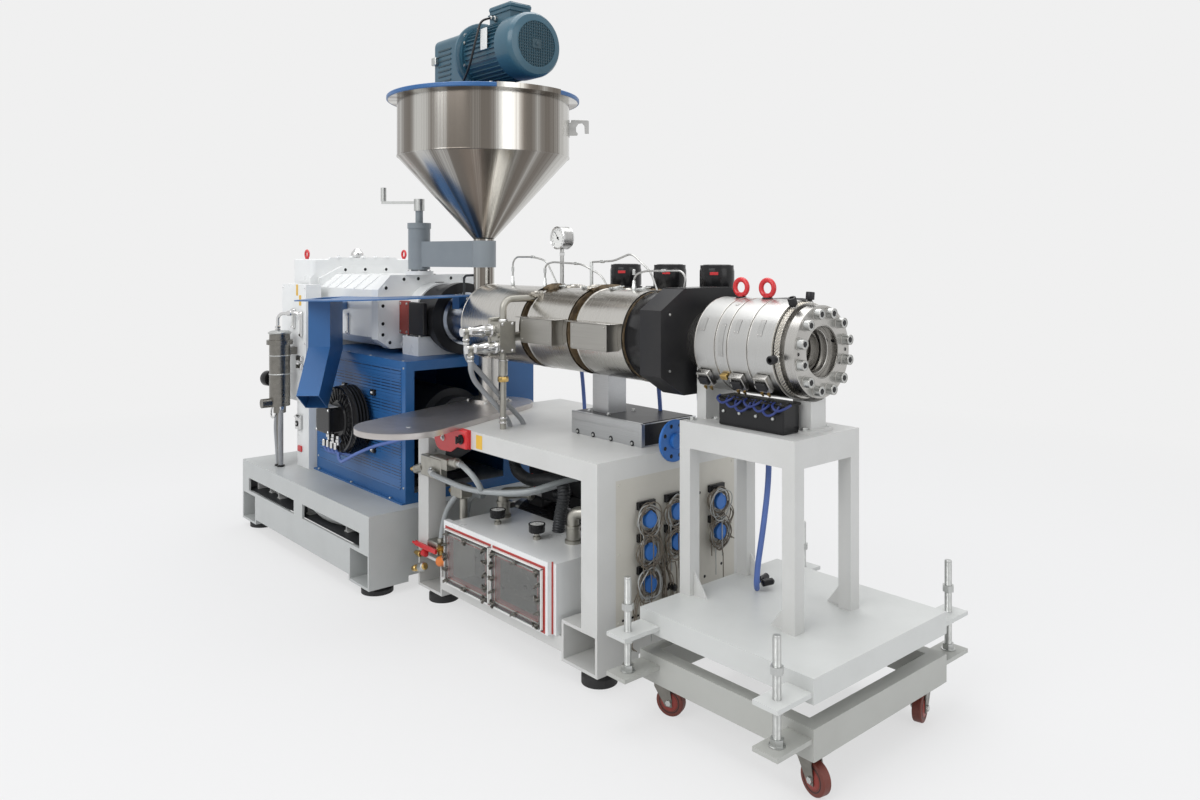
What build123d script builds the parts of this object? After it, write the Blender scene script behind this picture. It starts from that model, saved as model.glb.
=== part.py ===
from build123d import *
from math import cos, sin, tan, radians, sqrt
import os

os.makedirs("parts", exist_ok=True)

# Driving dimensions in millimetres. X runs along the extrusion line towards the die,
# Z is up, and the operator stands on the -Y side.
axis_z = 1262            # height of the screw's axis
plate = 12               # welded plate of the frames
cover = 4                # sheet metal of covers
seat_gap = 0.3           # between faces that only rest on each other

# Drive base and its pads
base_gap = 112           # free length between the two bases
base_half = 614
base_top = 384
base_floor = 40          # underside of its corner legs
base_lip = 68            # lower edge of its walls between the legs
base_leg = 205
niche_height = 130
slot_height = 74
slot_margin = 95
slot_web = 110
base_pad_r = 75
base_pad_inset = 90

# Middle frame and its pads
mid_x = (-240, 1025)
mid_half = 420
mid_top = 835
mid_floor = 60
mid_beam = 77
mid_post = 90
mid_tube = 50
mid_rail_z = (94, 150)
mid_leg = 205
mid_leg_top = 216
shelf = 6
mid_pad_r = 68
mid_pad_inset = 85

# Trolley under the die
deck_x = (1206, 1928)
deck_half = 380
deck_z = (290, 366)
frame_z = (125, 220)
frame_tube = 50
rod_r = 12
rod_play = 1
rod_inset = 50
rod_reach = 105          # from the deck's side to the rod
lug_width = 90
lug_length = 160
lug_thick = 14
lug_top = 325
low_lug_top = 192
rod_z = (166, 505)
parked_nut_z = 397
nut_r = 20.8             # across corners, halved
nut_height = 22
wheel_r = 50
wheel_width = 32
axle_r = 6
caster_plate = 8
caster_head = 8
caster_trail = 28
caster_inset = 58
caster_turns = (-11, -75, 20, 160)
fork_thick = 4
fork_play = 3

# Die stand and die head
stand_x = (1206, 1713)
stand_half = 182
stand_top = 989
stand_beam = 94
stand_leg = 50
die_core_r = 140
band_r = 170
band_starts = (1265, 1362, 1418, 1507)
band_ends = (1360, 1416, 1505, 1612)
wire_ring = (1614, 1637)
die_end = 1652
flange_thick = 38
flange_r = 156
bolt_circle_r = 132
bolt_count = 12
bolt_head_r = 18
bolt_head = 24
outlet_r = 90
lip_r = 74
lip_depth = 60

# Barrel
feed_x = (-490, -252)
feed_r = 125
feed_ring_r = 135
jacket_r = 182
core_r = 145
jackets = ((-252, 225), (275, 557), (613, 894))
housing_x = (1069, 1178)
housing_half = 250
housing_z = (1070, 1461)
adapter_r = 115
adapter_end = 1262
box_x = ((316, 526), (656, 869))
box_z = (1211, 1318)
box_front = 238
blower_x = (450, 730, 1000)
blower_y = 252
blower_r = 68
blower_z = (1420, 1545)

# Gearbox
gear_x = (-1905, -1630)
gear_front = -870
gear_floor = axis_z - 162
gear_half = 288
gear_height = 378
gear_corner = (100, 75)
rear_half = 330
rear_drop = 20           # the rear casing reaches this far below the main one
rear_height = 486
rear_flange = (16, 9)    # its length, and how far it stands out
rear_corner = (125, 118)
breather = (187, 60, 18)   # place behind the casing's back, height, radius
joint_band = (30, 4)
joint_height = 426
joint_corner = (143, 71)
cover_x = (-870, -800)
cover_half = 335
cover_height = 384
cover_corner = (72, 75)
rib_from = 114           # first rib on the bevel, behind the front band
rib_step = 113
rib_count = 5
rib_size = (12, 7)
snout_r = 180
snout_end = -700
drum_r = 172
drum_end = -560
coupling_r = 184
coupling_end = -512

# Motor enclosure
room_x = (-1430, -425)
room_half = 385
room_top = 1073
room_post = 48
louvre_margin = 48       # plain border of the louvred side
louvre_step = 17
louvre_depth = 5
motor_gap = 130          # behind the motor inside the enclosure
motor_reach = 675
motor_bell = 80
motor_shaft = (100, 32)
fan_at = (-900, 746)
fan_r = 172
fan_neck_r = 107

# Hopper on its swing arm
hopper_at = (-325, 0)
pipe_r = 52
pipe_wall = 3
pipe_floor = axis_z + 150
pipe_rise = 8            # from the arm's top to the cone
cone_height = 406
shell_height = 287
shell_r = 427
rim_out = 47             # how far the rolled rim stands out
rim_r = shell_r + rim_out
rim_thick = 12
lid_thick = 8
column_at = (-790, -100)
post_r = 44
sleeve_r = 58
sleeve_length = 247
collar_height = 30
collar_out = 4
cap_thick = 14
arm_drop = 15            # the arm starts this far above the sleeve's lower end
arm_height = 133
arm_width = 60
arm_ring = 8
foot_ring = (75, 20)     # radius and height of the column's foot
foot_play = 8            # gap between the foot and the sleeve
screw_r = 20
hub_r = 28
hub_gap = 65
hub_height = 63
lever_length = 190
lever_bar = (22, 14)
handle = (15, 72)
lever_heading = -131     # seen from above, away from the hopper

# Emptying table and chute beside the gearbox
table_slope = 2.1        # falls towards the chute
table_thick = 6
table_start = (-330, -90)
table_seat = 1386
duct_at = (-1131, -432)  # middle of the duct's inner face
duct_width = 112
duct_depth = 230
duct_turn = -41.1        # direction that the chute pours in
duct_wall = 3

# Table top that carries the rear support, and the supports of the barrel
worktop_thick = 24
worktop_reach = 840
worktop_near = (5, 205)  # middle in X, radius
worktop_far = (-245, 30, 172)
rear_at = (-305, 15)
rear_post_r = 50
slide_x = (505, 930)
slide_y = (-110, 200)
slide_top = 925
front_x = 620

# Small housings and fittings
foot_out = 20
foot_thick = 8
motor_r = 190
motor_z = 700
foot_x = (-760, -600)
cabinet_x = (-1820, -1480)
cabinet_depth = 90
cabinet_z = (750, 1420)
cabinet_post_x = (-1600, -1440)
filter_at = (-1630, -520)
filter_z = (730, 1140)
filter_r = 57
feed_hole_r = 45
manifold_x = (218, 290)
manifold_y = (-330, -250)
manifold_z = (1165, 1300)
manifold_bend = 97       # height of the pipe's elbow over the block
water_pipe_r = 15
coupling_tail = 150
coupling_tail_r = 16
tail_points = ((232, 1262), (266, 1192))
tail_drop = (40, 13)
hose_r = 11
gauge_x = 300
gauge_z = 1664
gauge_r = 50
bolt_key_r = 11
die_eye_x = (1340, 1460)
gusset_leg = 60
saddle_x = 1627
feeder_rise = 202        # shaft over the hopper's lid
feeder_r = 137
feeder_length = 400
feeder_flange = (150, 30)
feeder_block = (270, 240)
feeder_height = 325
feeder_foot = (310, 280, 25)
feeder_corner = 40
feeder_box = (170, 120, 78)
table_leg_x = (-440, -380)
table_leg_y = (-112, -70)
table_points = ((-258, -90), (-258, -260), (-340, -430), (-520, -575), (-700, -655),
                (-1017, -690), (-1232, -440), (-1200, -345), (-740, -345), (-500, -200),
                (-490, -90))
duct_profile = ((0, 1370), (230, 1370), (230, 1118), (415, 896), (272, 813), (0, 1085))
arm_bar_z = (1290, 1330)
socket_r = 30
socket_points = ((-182, 596), (-182, 476), (-182, 355), (-37, 600), (-37, 484), (212, 595),
                 (212, 473))
tank_from = 300          # from the frame's end to the tank
tank_length = 740
tank_stand_out = 10      # in front of the frame
tank_depth = 340
tank_height = 270
window_plate = 25
window_plate_shift = 20
window_gap = 20
window_margin = (26, 15)
window_height = 230
window_lap = 22
gasket = 4
gasket_width = 14
pane = 10
valve_back = 120         # from the tank to the valve
valve_rise = 112
valve_block = 20
lever_thick = 10
lever_span = 165

# The footprint's middle is the origin, so the extrusion line lies a little off it in Y.
first_turn = radians(caster_turns[0])
front_reach = (deck_x[1] - caster_inset + (caster_trail + wheel_r) * cos(first_turn)
               + wheel_width / 2 * abs(sin(first_turn)))
line_y = (worktop_reach - base_half) / 2
base_x = (-front_reach, mid_x[0] - base_gap)
line_axis = Axis((0, line_y, axis_z), (1, 0, 0))

# Places that follow from the sizes
cabinet_back = -rear_half - rear_flange[1]
cabinet_y = (cabinet_back - cabinet_depth, cabinet_back)
cover_top = gear_floor + cover_height
foot_top = cover_top + foot_ring[1]
sleeve_floor = foot_top + foot_play
sleeve_z = (sleeve_floor, sleeve_floor + sleeve_length)
arm_z = (sleeve_floor + arm_drop, sleeve_floor + arm_drop + arm_height)
hub_z = (sleeve_z[1] + hub_gap, sleeve_z[1] + hub_gap + hub_height)
pipe_z = (pipe_floor, arm_z[1] + pipe_rise)
cone_top = pipe_z[1] + cone_height
shell_top = cone_top + shell_height
feeder_floor = shell_top + lid_thick
feeder_z = feeder_floor + feeder_rise
tank_x = (mid_x[0] + tank_from, mid_x[0] + tank_from + tank_length)
tank_y = (-mid_half - tank_stand_out, -mid_half - tank_stand_out + tank_depth)
tank_z = (mid_rail_z[1], mid_rail_z[1] + tank_height)
window_start = tank_x[0] - window_plate_shift + window_margin[0]
window_width = (tank_length - 2 * window_margin[0] - window_gap) / 2
window_x = ((window_start, window_start + window_width),
            (window_start + window_width + window_gap,
             window_start + 2 * window_width + window_gap))
window_z = (tank_z[0] + window_margin[1], tank_z[0] + window_margin[1] + window_height)
pane_back = tank_y[0] - window_plate - gasket
lever_y = (pane_back + 11, pane_back + 11 + lever_thick)
valve_at = (tank_x[0] - valve_back, tank_y[0] + 30, tank_z[0] + valve_rise)


def level(z):
    """Level plane at height z, its origin over the extrusion line."""
    return Plane(origin=(0, line_y, z))


def side(y):
    """Upright plane along the line that faces the operator."""
    return Plane(origin=(0, line_y + y, 0), x_dir=(1, 0, 0), z_dir=(0, -1, 0))


def across(x):
    """Upright plane square to the line that faces the die end."""
    return Plane(origin=(x, line_y, 0), x_dir=(0, 1, 0), z_dir=(1, 0, 0))


def write(builder, name):
    """Label a finished piece and write it."""
    builder.part.label = name
    export_step(builder.part, f"parts/{name}.step")


def block(x_range, y_range, z_range, mode=Mode.ADD):
    """A box between the given limits."""
    with BuildSketch(level(z_range[0])) as outline:
        with Locations(((x_range[0] + x_range[1]) / 2, (y_range[0] + y_range[1]) / 2)):
            Rectangle(x_range[1] - x_range[0], y_range[1] - y_range[0])
    extrude(outline.sketch, amount=z_range[1] - z_range[0], mode=mode)


def drum(x_range, radius, mode=Mode.ADD, centre=(0, axis_z)):
    """A disc about a line that runs along X."""
    with BuildSketch(across(x_range[0])) as outline:
        with Locations(centre):
            Circle(radius)
    extrude(outline.sketch, amount=x_range[1] - x_range[0], mode=mode)


def post(x, y, z_range, radius, mode=Mode.ADD):
    """An upright round bar."""
    with BuildSketch(level(z_range[0])) as outline:
        with Locations((x, y)):
            Circle(radius)
    extrude(outline.sketch, amount=z_range[1] - z_range[0], mode=mode)


def spigot(x, z, y_range, radius, mode=Mode.ADD):
    """A round bar across the line, between the two sides in y_range."""
    with BuildSketch(side(y_range[1])) as outline:
        with Locations((x, z)):
            Circle(radius)
    extrude(outline.sketch, amount=y_range[1] - y_range[0], mode=mode)


def turned(points, x, y, mode=Mode.ADD):
    """A body turned about the upright line at x and y, from (radius, z) points."""
    with BuildSketch(Plane(origin=(x, line_y + y, 0), x_dir=(1, 0, 0), z_dir=(0, -1, 0))) as outline:
        with BuildLine():
            Polyline(*points, close=True)
        make_face()
    revolve(outline.sketch, axis=Axis((x, line_y + y, 0), (0, 0, 1)), mode=mode)


def turned_along(points, mode=Mode.ADD):
    """A body turned about the screw's axis, from (x, radius) points."""
    with BuildSketch(side(0)) as outline:
        with BuildLine():
            Polyline(*[(x, axis_z + radius) for x, radius in points], close=True)
        make_face()
    revolve(outline.sketch, axis=line_axis, mode=mode)


def arc_radii(points):
    """Radius of the arc at each inner point, as large as its two runs allow."""
    radii = []
    for before, corner, after in zip(points, points[1:], points[2:]):
        arriving = Vector(*corner) - Vector(*before)
        leaving = Vector(*after) - Vector(*corner)
        turn = radians(arriving.get_angle(leaving))
        radii.append(0.45 * min(arriving.length, leaving.length) / tan(turn / 2))
    return radii


def tube_run(points, radii, radius):
    """A round hose or pipe along straight runs joined by tangent arcs."""
    with BuildLine() as path:
        FilletPolyline(*[(x, line_y + y, z) for x, y, z in points], radius=radii)
    with BuildSketch(Plane(origin=path.line @ 0, z_dir=path.line % 0)) as ring:
        Circle(radius)
    sweep(ring.sketch, path=path.line)


def hex_nut(x, y, z, radius=nut_r, height=nut_height):
    """A hexagon nut or bolt head that lies level."""
    with BuildSketch(level(z)) as outline:
        with Locations((x, y)):
            RegularPolygon(radius, 6)
    extrude(outline.sketch, amount=height)


def ring_eye(x, y, z, radius, wire):
    """An upright lifting eye on a short shank that starts at z."""
    post(x, y, (z, z + 2 * wire), wire * 1.5)
    with BuildSketch(Plane(origin=(x, line_y + y, z + radius + wire), x_dir=(1, 0, 0),
                           z_dir=(0, 0, 1))) as ring:
        with Locations((radius, 0)):
            Circle(wire)
    revolve(ring.sketch, axis=Axis((x, line_y + y, z + radius + wire), (0, 1, 0)))


def ordered(a, b):
    return (min(a, b), max(a, b))


def corner_legs(x_range, half, floor, top, leg):
    """Hollow corner legs, each open towards its own side of the machine."""
    for x_out, way in ((x_range[0], 1), (x_range[1], -1)):
        for y_way in (-1, 1):
            block(ordered(x_out, x_out + way * leg),
                  ordered(y_way * half, y_way * (half - leg)), (floor, top))
            block(ordered(x_out + way * plate, x_out + way * (leg - plate)),
                  ordered(y_way * half, y_way * (half - leg + plate)),
                  (floor + plate, top - plate), Mode.SUBTRACT)


def corner_points(x_range, half, inset):
    return [(x, y) for x in (x_range[0] + inset, x_range[1] - inset)
            for y in (-half + inset, half - inset)]


# Drive base: welded walls with cable slots, and a top plate
leg_top = base_lip + niche_height + plate
slot_floor = leg_top + 6
slot_length = (base_x[1] - base_x[0] - 2 * slot_margin - slot_web) / 2
with BuildPart() as drive_base_walls:
    block(base_x, (-base_half, base_half), (base_lip, base_top - plate))
    block((base_x[0] + plate, base_x[1] - plate), (-base_half + plate, base_half - plate),
          (base_lip, base_top - plate), Mode.SUBTRACT)
    corner_legs(base_x, base_half, base_floor, leg_top, base_leg)
    for start in (base_x[0] + slot_margin, base_x[1] - slot_margin - slot_length):
        for y_way in (-1, 1):
            block((start, start + slot_length),
                  ordered(y_way * base_half, y_way * (base_half - plate)),
                  (slot_floor, slot_floor + slot_height), Mode.SUBTRACT)
write(drive_base_walls, "drive_base_walls")

with BuildPart() as drive_base_top:
    block(base_x, (-base_half, base_half), (base_top - plate, base_top))
    fillet(drive_base_top.edges().filter_by(Axis.Z), 3)
write(drive_base_top, "drive_base_top")

# Rubber levelling pads with steel caps, four under each frame
pad_rows = ((corner_points(base_x, base_half, base_pad_inset), base_pad_r, base_floor),
            (corner_points(mid_x, mid_half, mid_pad_inset), mid_pad_r, mid_floor))
with BuildPart() as levelling_pads:
    for points, pad_r, height in pad_rows:
        for x, y in points:
            turned([(0, 0), (pad_r, 0), (pad_r, height * 0.5), (pad_r * 0.8, height - 8),
                    (pad_r * 0.35, height - 8), (pad_r * 0.35, height), (0, height)], x, y)
write(levelling_pads, "levelling_pads")

# Motor enclosure: a sheet housing open at the coupling end, with a foot flange
opening_y = (-room_half + room_post, 190)
opening_z = (base_top + room_post, room_top - room_post)
with BuildPart() as motor_enclosure:
    block(room_x, (-room_half, room_half), (base_top, room_top))
    block((room_x[0] + cover, room_x[1] - cover), (-room_half + cover, room_half - cover),
          (base_top, room_top - cover), Mode.SUBTRACT)
    block((room_x[1] - cover, room_x[1]), opening_y, opening_z, Mode.SUBTRACT)
    for y_way in (-1, 1):
        block(room_x, ordered(y_way * room_half, y_way * (room_half + foot_out)),
              (base_top, base_top + foot_thick))
    louvre_height = room_top - base_top - 2 * louvre_margin
    with BuildSketch(across(room_x[0] + louvre_margin)) as hoods:
        with Locations((-room_half, (base_top + room_top) / 2)):
            with GridLocations(0, louvre_step, 1, int(louvre_height / louvre_step)):
                Polygon((0, 0), (-louvre_depth, 0), (0, louvre_step * 0.8), align=None)
    extrude(hoods.sketch, amount=room_x[1] - room_x[0] - 2 * louvre_margin)
    block((fan_at[0] - fan_neck_r, fan_at[0] + fan_neck_r), (-room_half - louvre_depth, -room_half),
          (fan_at[1] - fan_neck_r, fan_at[1] + fan_neck_r), Mode.SUBTRACT)
write(motor_enclosure, "motor_enclosure")

motor_x = (room_x[0] + motor_gap, room_x[0] + motor_gap + motor_reach)
bell_end = motor_x[1] + motor_bell
with BuildPart() as main_motor:
    drum(motor_x, motor_r, centre=(0, motor_z))
    drum((motor_x[1], bell_end), motor_r * 0.8, centre=(0, motor_z))
    drum((bell_end, bell_end + motor_shaft[0]), motor_shaft[1], centre=(0, motor_z))
    block((motor_x[0] + 50, motor_x[1] - 70), (-motor_r, motor_r), (base_top, base_top + 40))
    block((motor_x[0] + 90, motor_x[1] - 110), (-130, 130), (base_top + 40, motor_z))
write(main_motor, "main_motor")

# Cooling fan on the enclosure's side, with round fins
with BuildPart() as enclosure_blower:
    spigot(fan_at[0], fan_at[1], (-room_half - 40, -room_half), fan_neck_r)
    for fin in range(4):
        spigot(fan_at[0], fan_at[1],
               (-room_half - 46 - fin * 18, -room_half - 40 - fin * 18 + 2), fan_r)
    spigot(fan_at[0], fan_at[1], (-room_half - 118, -room_half - 38), fan_r * 0.7)
write(enclosure_blower, "enclosure_blower")


# Gearbox: two castings bolted at flanged bands, on a stand
def casing(x_range, half, height, corner):
    """A length of casing with bevelled upper corners and a narrower foot."""
    top = gear_floor + height
    with BuildSketch(across(x_range[0])) as outline:
        with BuildLine():
            Polyline((-half, gear_floor + 50), (-half, top - corner[1]), (-half + corner[0], top),
                     (half - corner[0], top), (half, top - corner[1]), (half, gear_floor + 50),
                     (half - 70, gear_floor), (-half + 70, gear_floor), close=True)
        make_face()
    extrude(outline.sketch, amount=x_range[1] - x_range[0])


def bevel_ribs(x):
    """A raised rib on each bevel of the main casing."""
    high = gear_floor + gear_height
    with BuildSketch(across(x)) as outline:
        for way in (-1, 1):
            with BuildLine():
                Polyline((way * gear_half, high - gear_corner[1]),
                         (way * (gear_half - gear_corner[0]), high),
                         (way * (gear_half - gear_corner[0] + rib_size[1]), high),
                         (way * gear_half, high - gear_corner[1] + rib_size[1]), close=True)
            make_face()
    extrude(outline.sketch, amount=rib_size[0])


rear_floor = gear_floor - rear_drop
rear_top = rear_floor + rear_height
stand_end = gear_x[1] + 150
with BuildPart() as gearbox_stand:
    block((gear_x[0] + 25, stand_end), (-250, 250), (base_top, rear_floor))
    block((gear_x[1], stand_end), (-220, 220), (rear_floor, gear_floor))
write(gearbox_stand, "gearbox_stand")

with BuildPart() as gearbox_rear_casing:
    block(gear_x, (-rear_half, rear_half), (rear_floor, rear_top))
    fillet(gearbox_rear_casing.edges().filter_by(Axis.Z), 30)
    fillet(gearbox_rear_casing.faces().sort_by(Axis.Z)[-1].edges(), 8)
    casing((gear_x[1] - rear_flange[0], gear_x[1]), rear_half + rear_flange[1],
           rear_height - rear_drop + rear_flange[1], rear_corner)
    post(gear_x[0] + breather[0], 0, (rear_top, rear_top + breather[1]), breather[2])
write(gearbox_rear_casing, "gearbox_rear_casing")

with BuildPart() as gearbox_main_casing:
    casing((gear_x[1], gear_front), gear_half, gear_height, gear_corner)
    casing((gear_x[1], gear_x[1] + joint_band[0]), gear_half + joint_band[1], joint_height,
           joint_corner)
    casing(cover_x, cover_half, cover_height, cover_corner)
    for rib in range(rib_count):
        bevel_ribs(gear_x[1] + rib_from + rib * rib_step)
    post(column_at[0], column_at[1], (cover_top, foot_top), foot_ring[0])
write(gearbox_main_casing, "gearbox_main_casing")

with BuildPart() as coupling_guard:
    drum((cover_x[1], snout_end), snout_r)
write(coupling_guard, "coupling_guard")

with BuildPart() as coupling_drum:
    drum((snout_end, drum_end), drum_r)
    drum((drum_end, coupling_end), coupling_r)
write(coupling_drum, "coupling_drum")

with BuildPart() as coupling_foot:
    block(foot_x, (-215, 215), (room_top, room_top + 97))
    drum((foot_x[0], snout_end), snout_r + seat_gap, Mode.SUBTRACT)
    drum((snout_end, foot_x[1]), drum_r + seat_gap, Mode.SUBTRACT)
write(coupling_foot, "coupling_foot")

# Oil cabinet on its column, and the oil filter that hangs beside it
with BuildPart() as oil_cabinet:
    block(cabinet_x, cabinet_y, cabinet_z)
    block(cabinet_post_x, cabinet_y, (base_top, cabinet_z[0]))
write(oil_cabinet, "oil_cabinet")

with BuildPart() as oil_filter:
    post(filter_at[0], filter_at[1], filter_z, filter_r)
    post(filter_at[0], filter_at[1], (filter_z[1] - 60, filter_z[1] - 35), filter_r + 15)
    post(filter_at[0], filter_at[1], (filter_z[0] - 40, filter_z[0]), filter_r * 0.6)
    block((filter_at[0] - 30, filter_at[0] + 30), (filter_at[1], cabinet_y[0]),
          (filter_z[1] - 120, filter_z[1] - 80))
    spigot(filter_at[0], filter_z[0] + 20, (filter_at[1] - 105, filter_at[1]), 26)
    for shift in (-16, 18):
        post(filter_at[0] + shift, filter_at[1], (base_top, filter_z[0] - 40), 13)
write(oil_filter, "oil_filter")

# Barrel: core, cooling shrouds, feed throat and end housing
with BuildPart() as feed_section:
    turned_along([(coupling_end, 0), (coupling_end, feed_ring_r), (feed_x[0], feed_ring_r),
                  (feed_x[0], feed_r), (feed_x[1], feed_r), (feed_x[1], 0)])
    post(hopper_at[0], hopper_at[1], (axis_z, axis_z + feed_r + 1), feed_hole_r, Mode.SUBTRACT)
write(feed_section, "feed_section")

with BuildPart() as barrel_core:
    turned_along([(feed_x[1], 0), (feed_x[1], core_r), (jackets[2][1], core_r),
                  (jackets[2][1], jacket_r - 10), (jackets[2][1] + 31, jacket_r - 10),
                  (jackets[2][1] + 31, core_r), (housing_x[0], core_r), (housing_x[0], 0)])
write(barrel_core, "barrel_core")

with BuildPart() as barrel_shrouds:
    for start, end in jackets:
        drum((start, end), jacket_r)
    drum((jackets[0][0], jackets[2][1]), core_r + seat_gap, Mode.SUBTRACT)
write(barrel_shrouds, "barrel_shrouds")

with BuildPart() as terminal_boxes:
    for x_range in box_x:
        block(x_range, (-box_front, -60), box_z)
    drum((box_x[0][0], box_x[1][1]), jacket_r + seat_gap, Mode.SUBTRACT)
write(terminal_boxes, "terminal_boxes")

with BuildPart() as barrel_end_housing:
    with BuildSketch(across(housing_x[0])) as outline:
        with BuildLine():
            Polyline((-housing_half, housing_z[0] + 76), (-housing_half, housing_z[1] - 76),
                     (-housing_half + 120, housing_z[1]), (housing_half - 120, housing_z[1]),
                     (housing_half, housing_z[1] - 76), (housing_half, housing_z[0] + 76),
                     (housing_half - 120, housing_z[0]), (-housing_half + 120, housing_z[0]),
                     close=True)
        make_face()
    extrude(outline.sketch, amount=housing_x[1] - housing_x[0])
write(barrel_end_housing, "barrel_end_housing")

# Upright blowers behind the barrel, each over a duct into its shroud
with BuildPart() as cooling_blowers:
    for x in blower_x:
        post(x, blower_y, blower_z, blower_r)
        post(x, blower_y, (blower_z[0] - 150, blower_z[0]), blower_r)
        block((x - 40, x + 40), (60, blower_y), (blower_z[0] - 140, blower_z[0] - 40))
    drum((jackets[0][0], jackets[2][1] + 31), jacket_r + seat_gap, Mode.SUBTRACT)
    drum((jackets[2][1] + 31, housing_x[0]), core_r + seat_gap, Mode.SUBTRACT)
write(cooling_blowers, "cooling_blowers")

# Water manifold on the near side of the barrel: a pipe over the barrel, a pipe down to the
# frame, and two couplings with hoses
pipe_x = (manifold_x[0] + manifold_x[1]) / 2
pipe_y = (manifold_y[0] + manifold_y[1]) / 2
bend_z = manifold_z[1] + manifold_bend
tail_end = manifold_y[0] - coupling_tail
tail_y = tail_end + coupling_tail_r
with BuildPart() as oil_manifold:
    block(manifold_x, manifold_y, manifold_z)
    spigot(pipe_x, axis_z - 30, (manifold_y[1], -60), 20)
    tube_run([(pipe_x, pipe_y, manifold_z[1]), (pipe_x, pipe_y, bend_z), (pipe_x, -20, bend_z)],
             [3 * water_pipe_r], water_pipe_r)
    drum((jackets[0][1], jackets[1][0]), core_r + seat_gap, Mode.SUBTRACT)
    post(pipe_x, pipe_y, (mid_top, manifold_z[0]), water_pipe_r - 1)
    post(pipe_x, pipe_y, (manifold_z[0] - 97, manifold_z[0] - 35), water_pipe_r + 5)
    for x, z in tail_points:
        spigot(x, z, (tail_end, manifold_y[0]), coupling_tail_r)
        post(x, tail_y, (z - tail_drop[0], z), tail_drop[1])
write(oil_manifold, "oil_manifold")

# Hoses from the couplings down to the frame's top, on the far side of the upright pipe
hose_routes = [[(232, -464, 1222), (232, -464, 1155), (218, -402, 1100), (215, -338, 1038),
                (215, -262, 955), (220, -165, 855), (223, -148, 815)],
               [(266, -464, 1152), (266, -464, 1108), (236, -428, 1056), (223, -359, 988),
                (220, -289, 921), (222, -238, 860), (223, -222, 815)]]
with BuildPart() as manifold_hoses:
    for route in hose_routes:
        tube_run(route, arc_radii(route), hose_r)
    block((manifold_x[0] - 60, manifold_x[1]), (manifold_y[0], 0),
          (mid_top - 40, mid_top + seat_gap), Mode.SUBTRACT)
write(manifold_hoses, "manifold_hoses")

# Melt pressure gauge over the barrel
with BuildPart() as pressure_gauge:
    post(gauge_x, 0, (axis_z + jacket_r + seat_gap, gauge_z - gauge_r + 4), 9)
    spigot(gauge_x, gauge_z, (-22, 22), gauge_r)
write(pressure_gauge, "pressure_gauge")

# Die head: body, clamped heater bands, outlet flange with its ring of cap screws
with BuildPart() as die_head:
    turned_along([(housing_x[1], 0), (housing_x[1], adapter_r), (adapter_end, adapter_r),
                  (adapter_end, die_core_r), (wire_ring[0], die_core_r),
                  (wire_ring[0], band_r - 8), (wire_ring[1], band_r - 8),
                  (wire_ring[1], die_core_r), (die_end, die_core_r), (die_end, 0)])
    drum((die_end - lip_depth, die_end), lip_r, Mode.SUBTRACT)
write(die_head, "die_head")

with BuildPart() as die_heater_bands:
    for start, end in zip(band_starts, band_ends):
        drum((start, end), band_r)
    drum((band_starts[0], band_ends[3]), die_core_r + seat_gap, Mode.SUBTRACT)
write(die_heater_bands, "die_heater_bands")

with BuildPart() as outlet_flange:
    drum((die_end, die_end + flange_thick), flange_r)
    drum((die_end, die_end + flange_thick), outlet_r, Mode.SUBTRACT)
    chamfer(outlet_flange.faces().sort_by(Axis.X)[-1].edges().sort_by(SortBy.RADIUS)[-1], 2)
write(outlet_flange, "outlet_flange")

with BuildPart() as flange_bolts:
    with BuildSketch(across(die_end + flange_thick)) as heads:
        with Locations((0, axis_z)):
            with PolarLocations(bolt_circle_r, bolt_count, start_angle=15):
                Circle(bolt_head_r)
    extrude(heads.sketch, amount=bolt_head)
    with BuildSketch(across(die_end + flange_thick + bolt_head)) as sockets:
        with Locations((0, axis_z)):
            with PolarLocations(bolt_circle_r, bolt_count, start_angle=15):
                RegularPolygon(bolt_key_r, 6)
    extrude(sockets.sketch, amount=-bolt_head / 2, mode=Mode.SUBTRACT)
write(flange_bolts, "flange_bolts")

# Red lifting eyes on the gearbox and the die
with BuildPart() as lifting_eyes:
    ring_eye(gear_x[0] + 117, -rear_half + 40, rear_top, 22, 7)
    ring_eye(gear_x[1] - 30, rear_half - 40, rear_top, 22, 7)
    for x in die_eye_x:
        ring_eye(x, 0, axis_z + band_r + seat_gap, 28, 9)
write(lifting_eyes, "lifting_eyes")


# Stand, saddles and adjustable trolley under the die
def gusset(x, way, y_range):
    """A triangular plate between a leg and the deck."""
    with BuildSketch(side(y_range[1])) as outline:
        with BuildLine():
            Polyline((x, deck_z[1]), (x + way * gusset_leg, deck_z[1]),
                     (x, deck_z[1] + gusset_leg * 1.4), close=True)
        make_face()
    extrude(outline.sketch, amount=y_range[1] - y_range[0])


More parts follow.
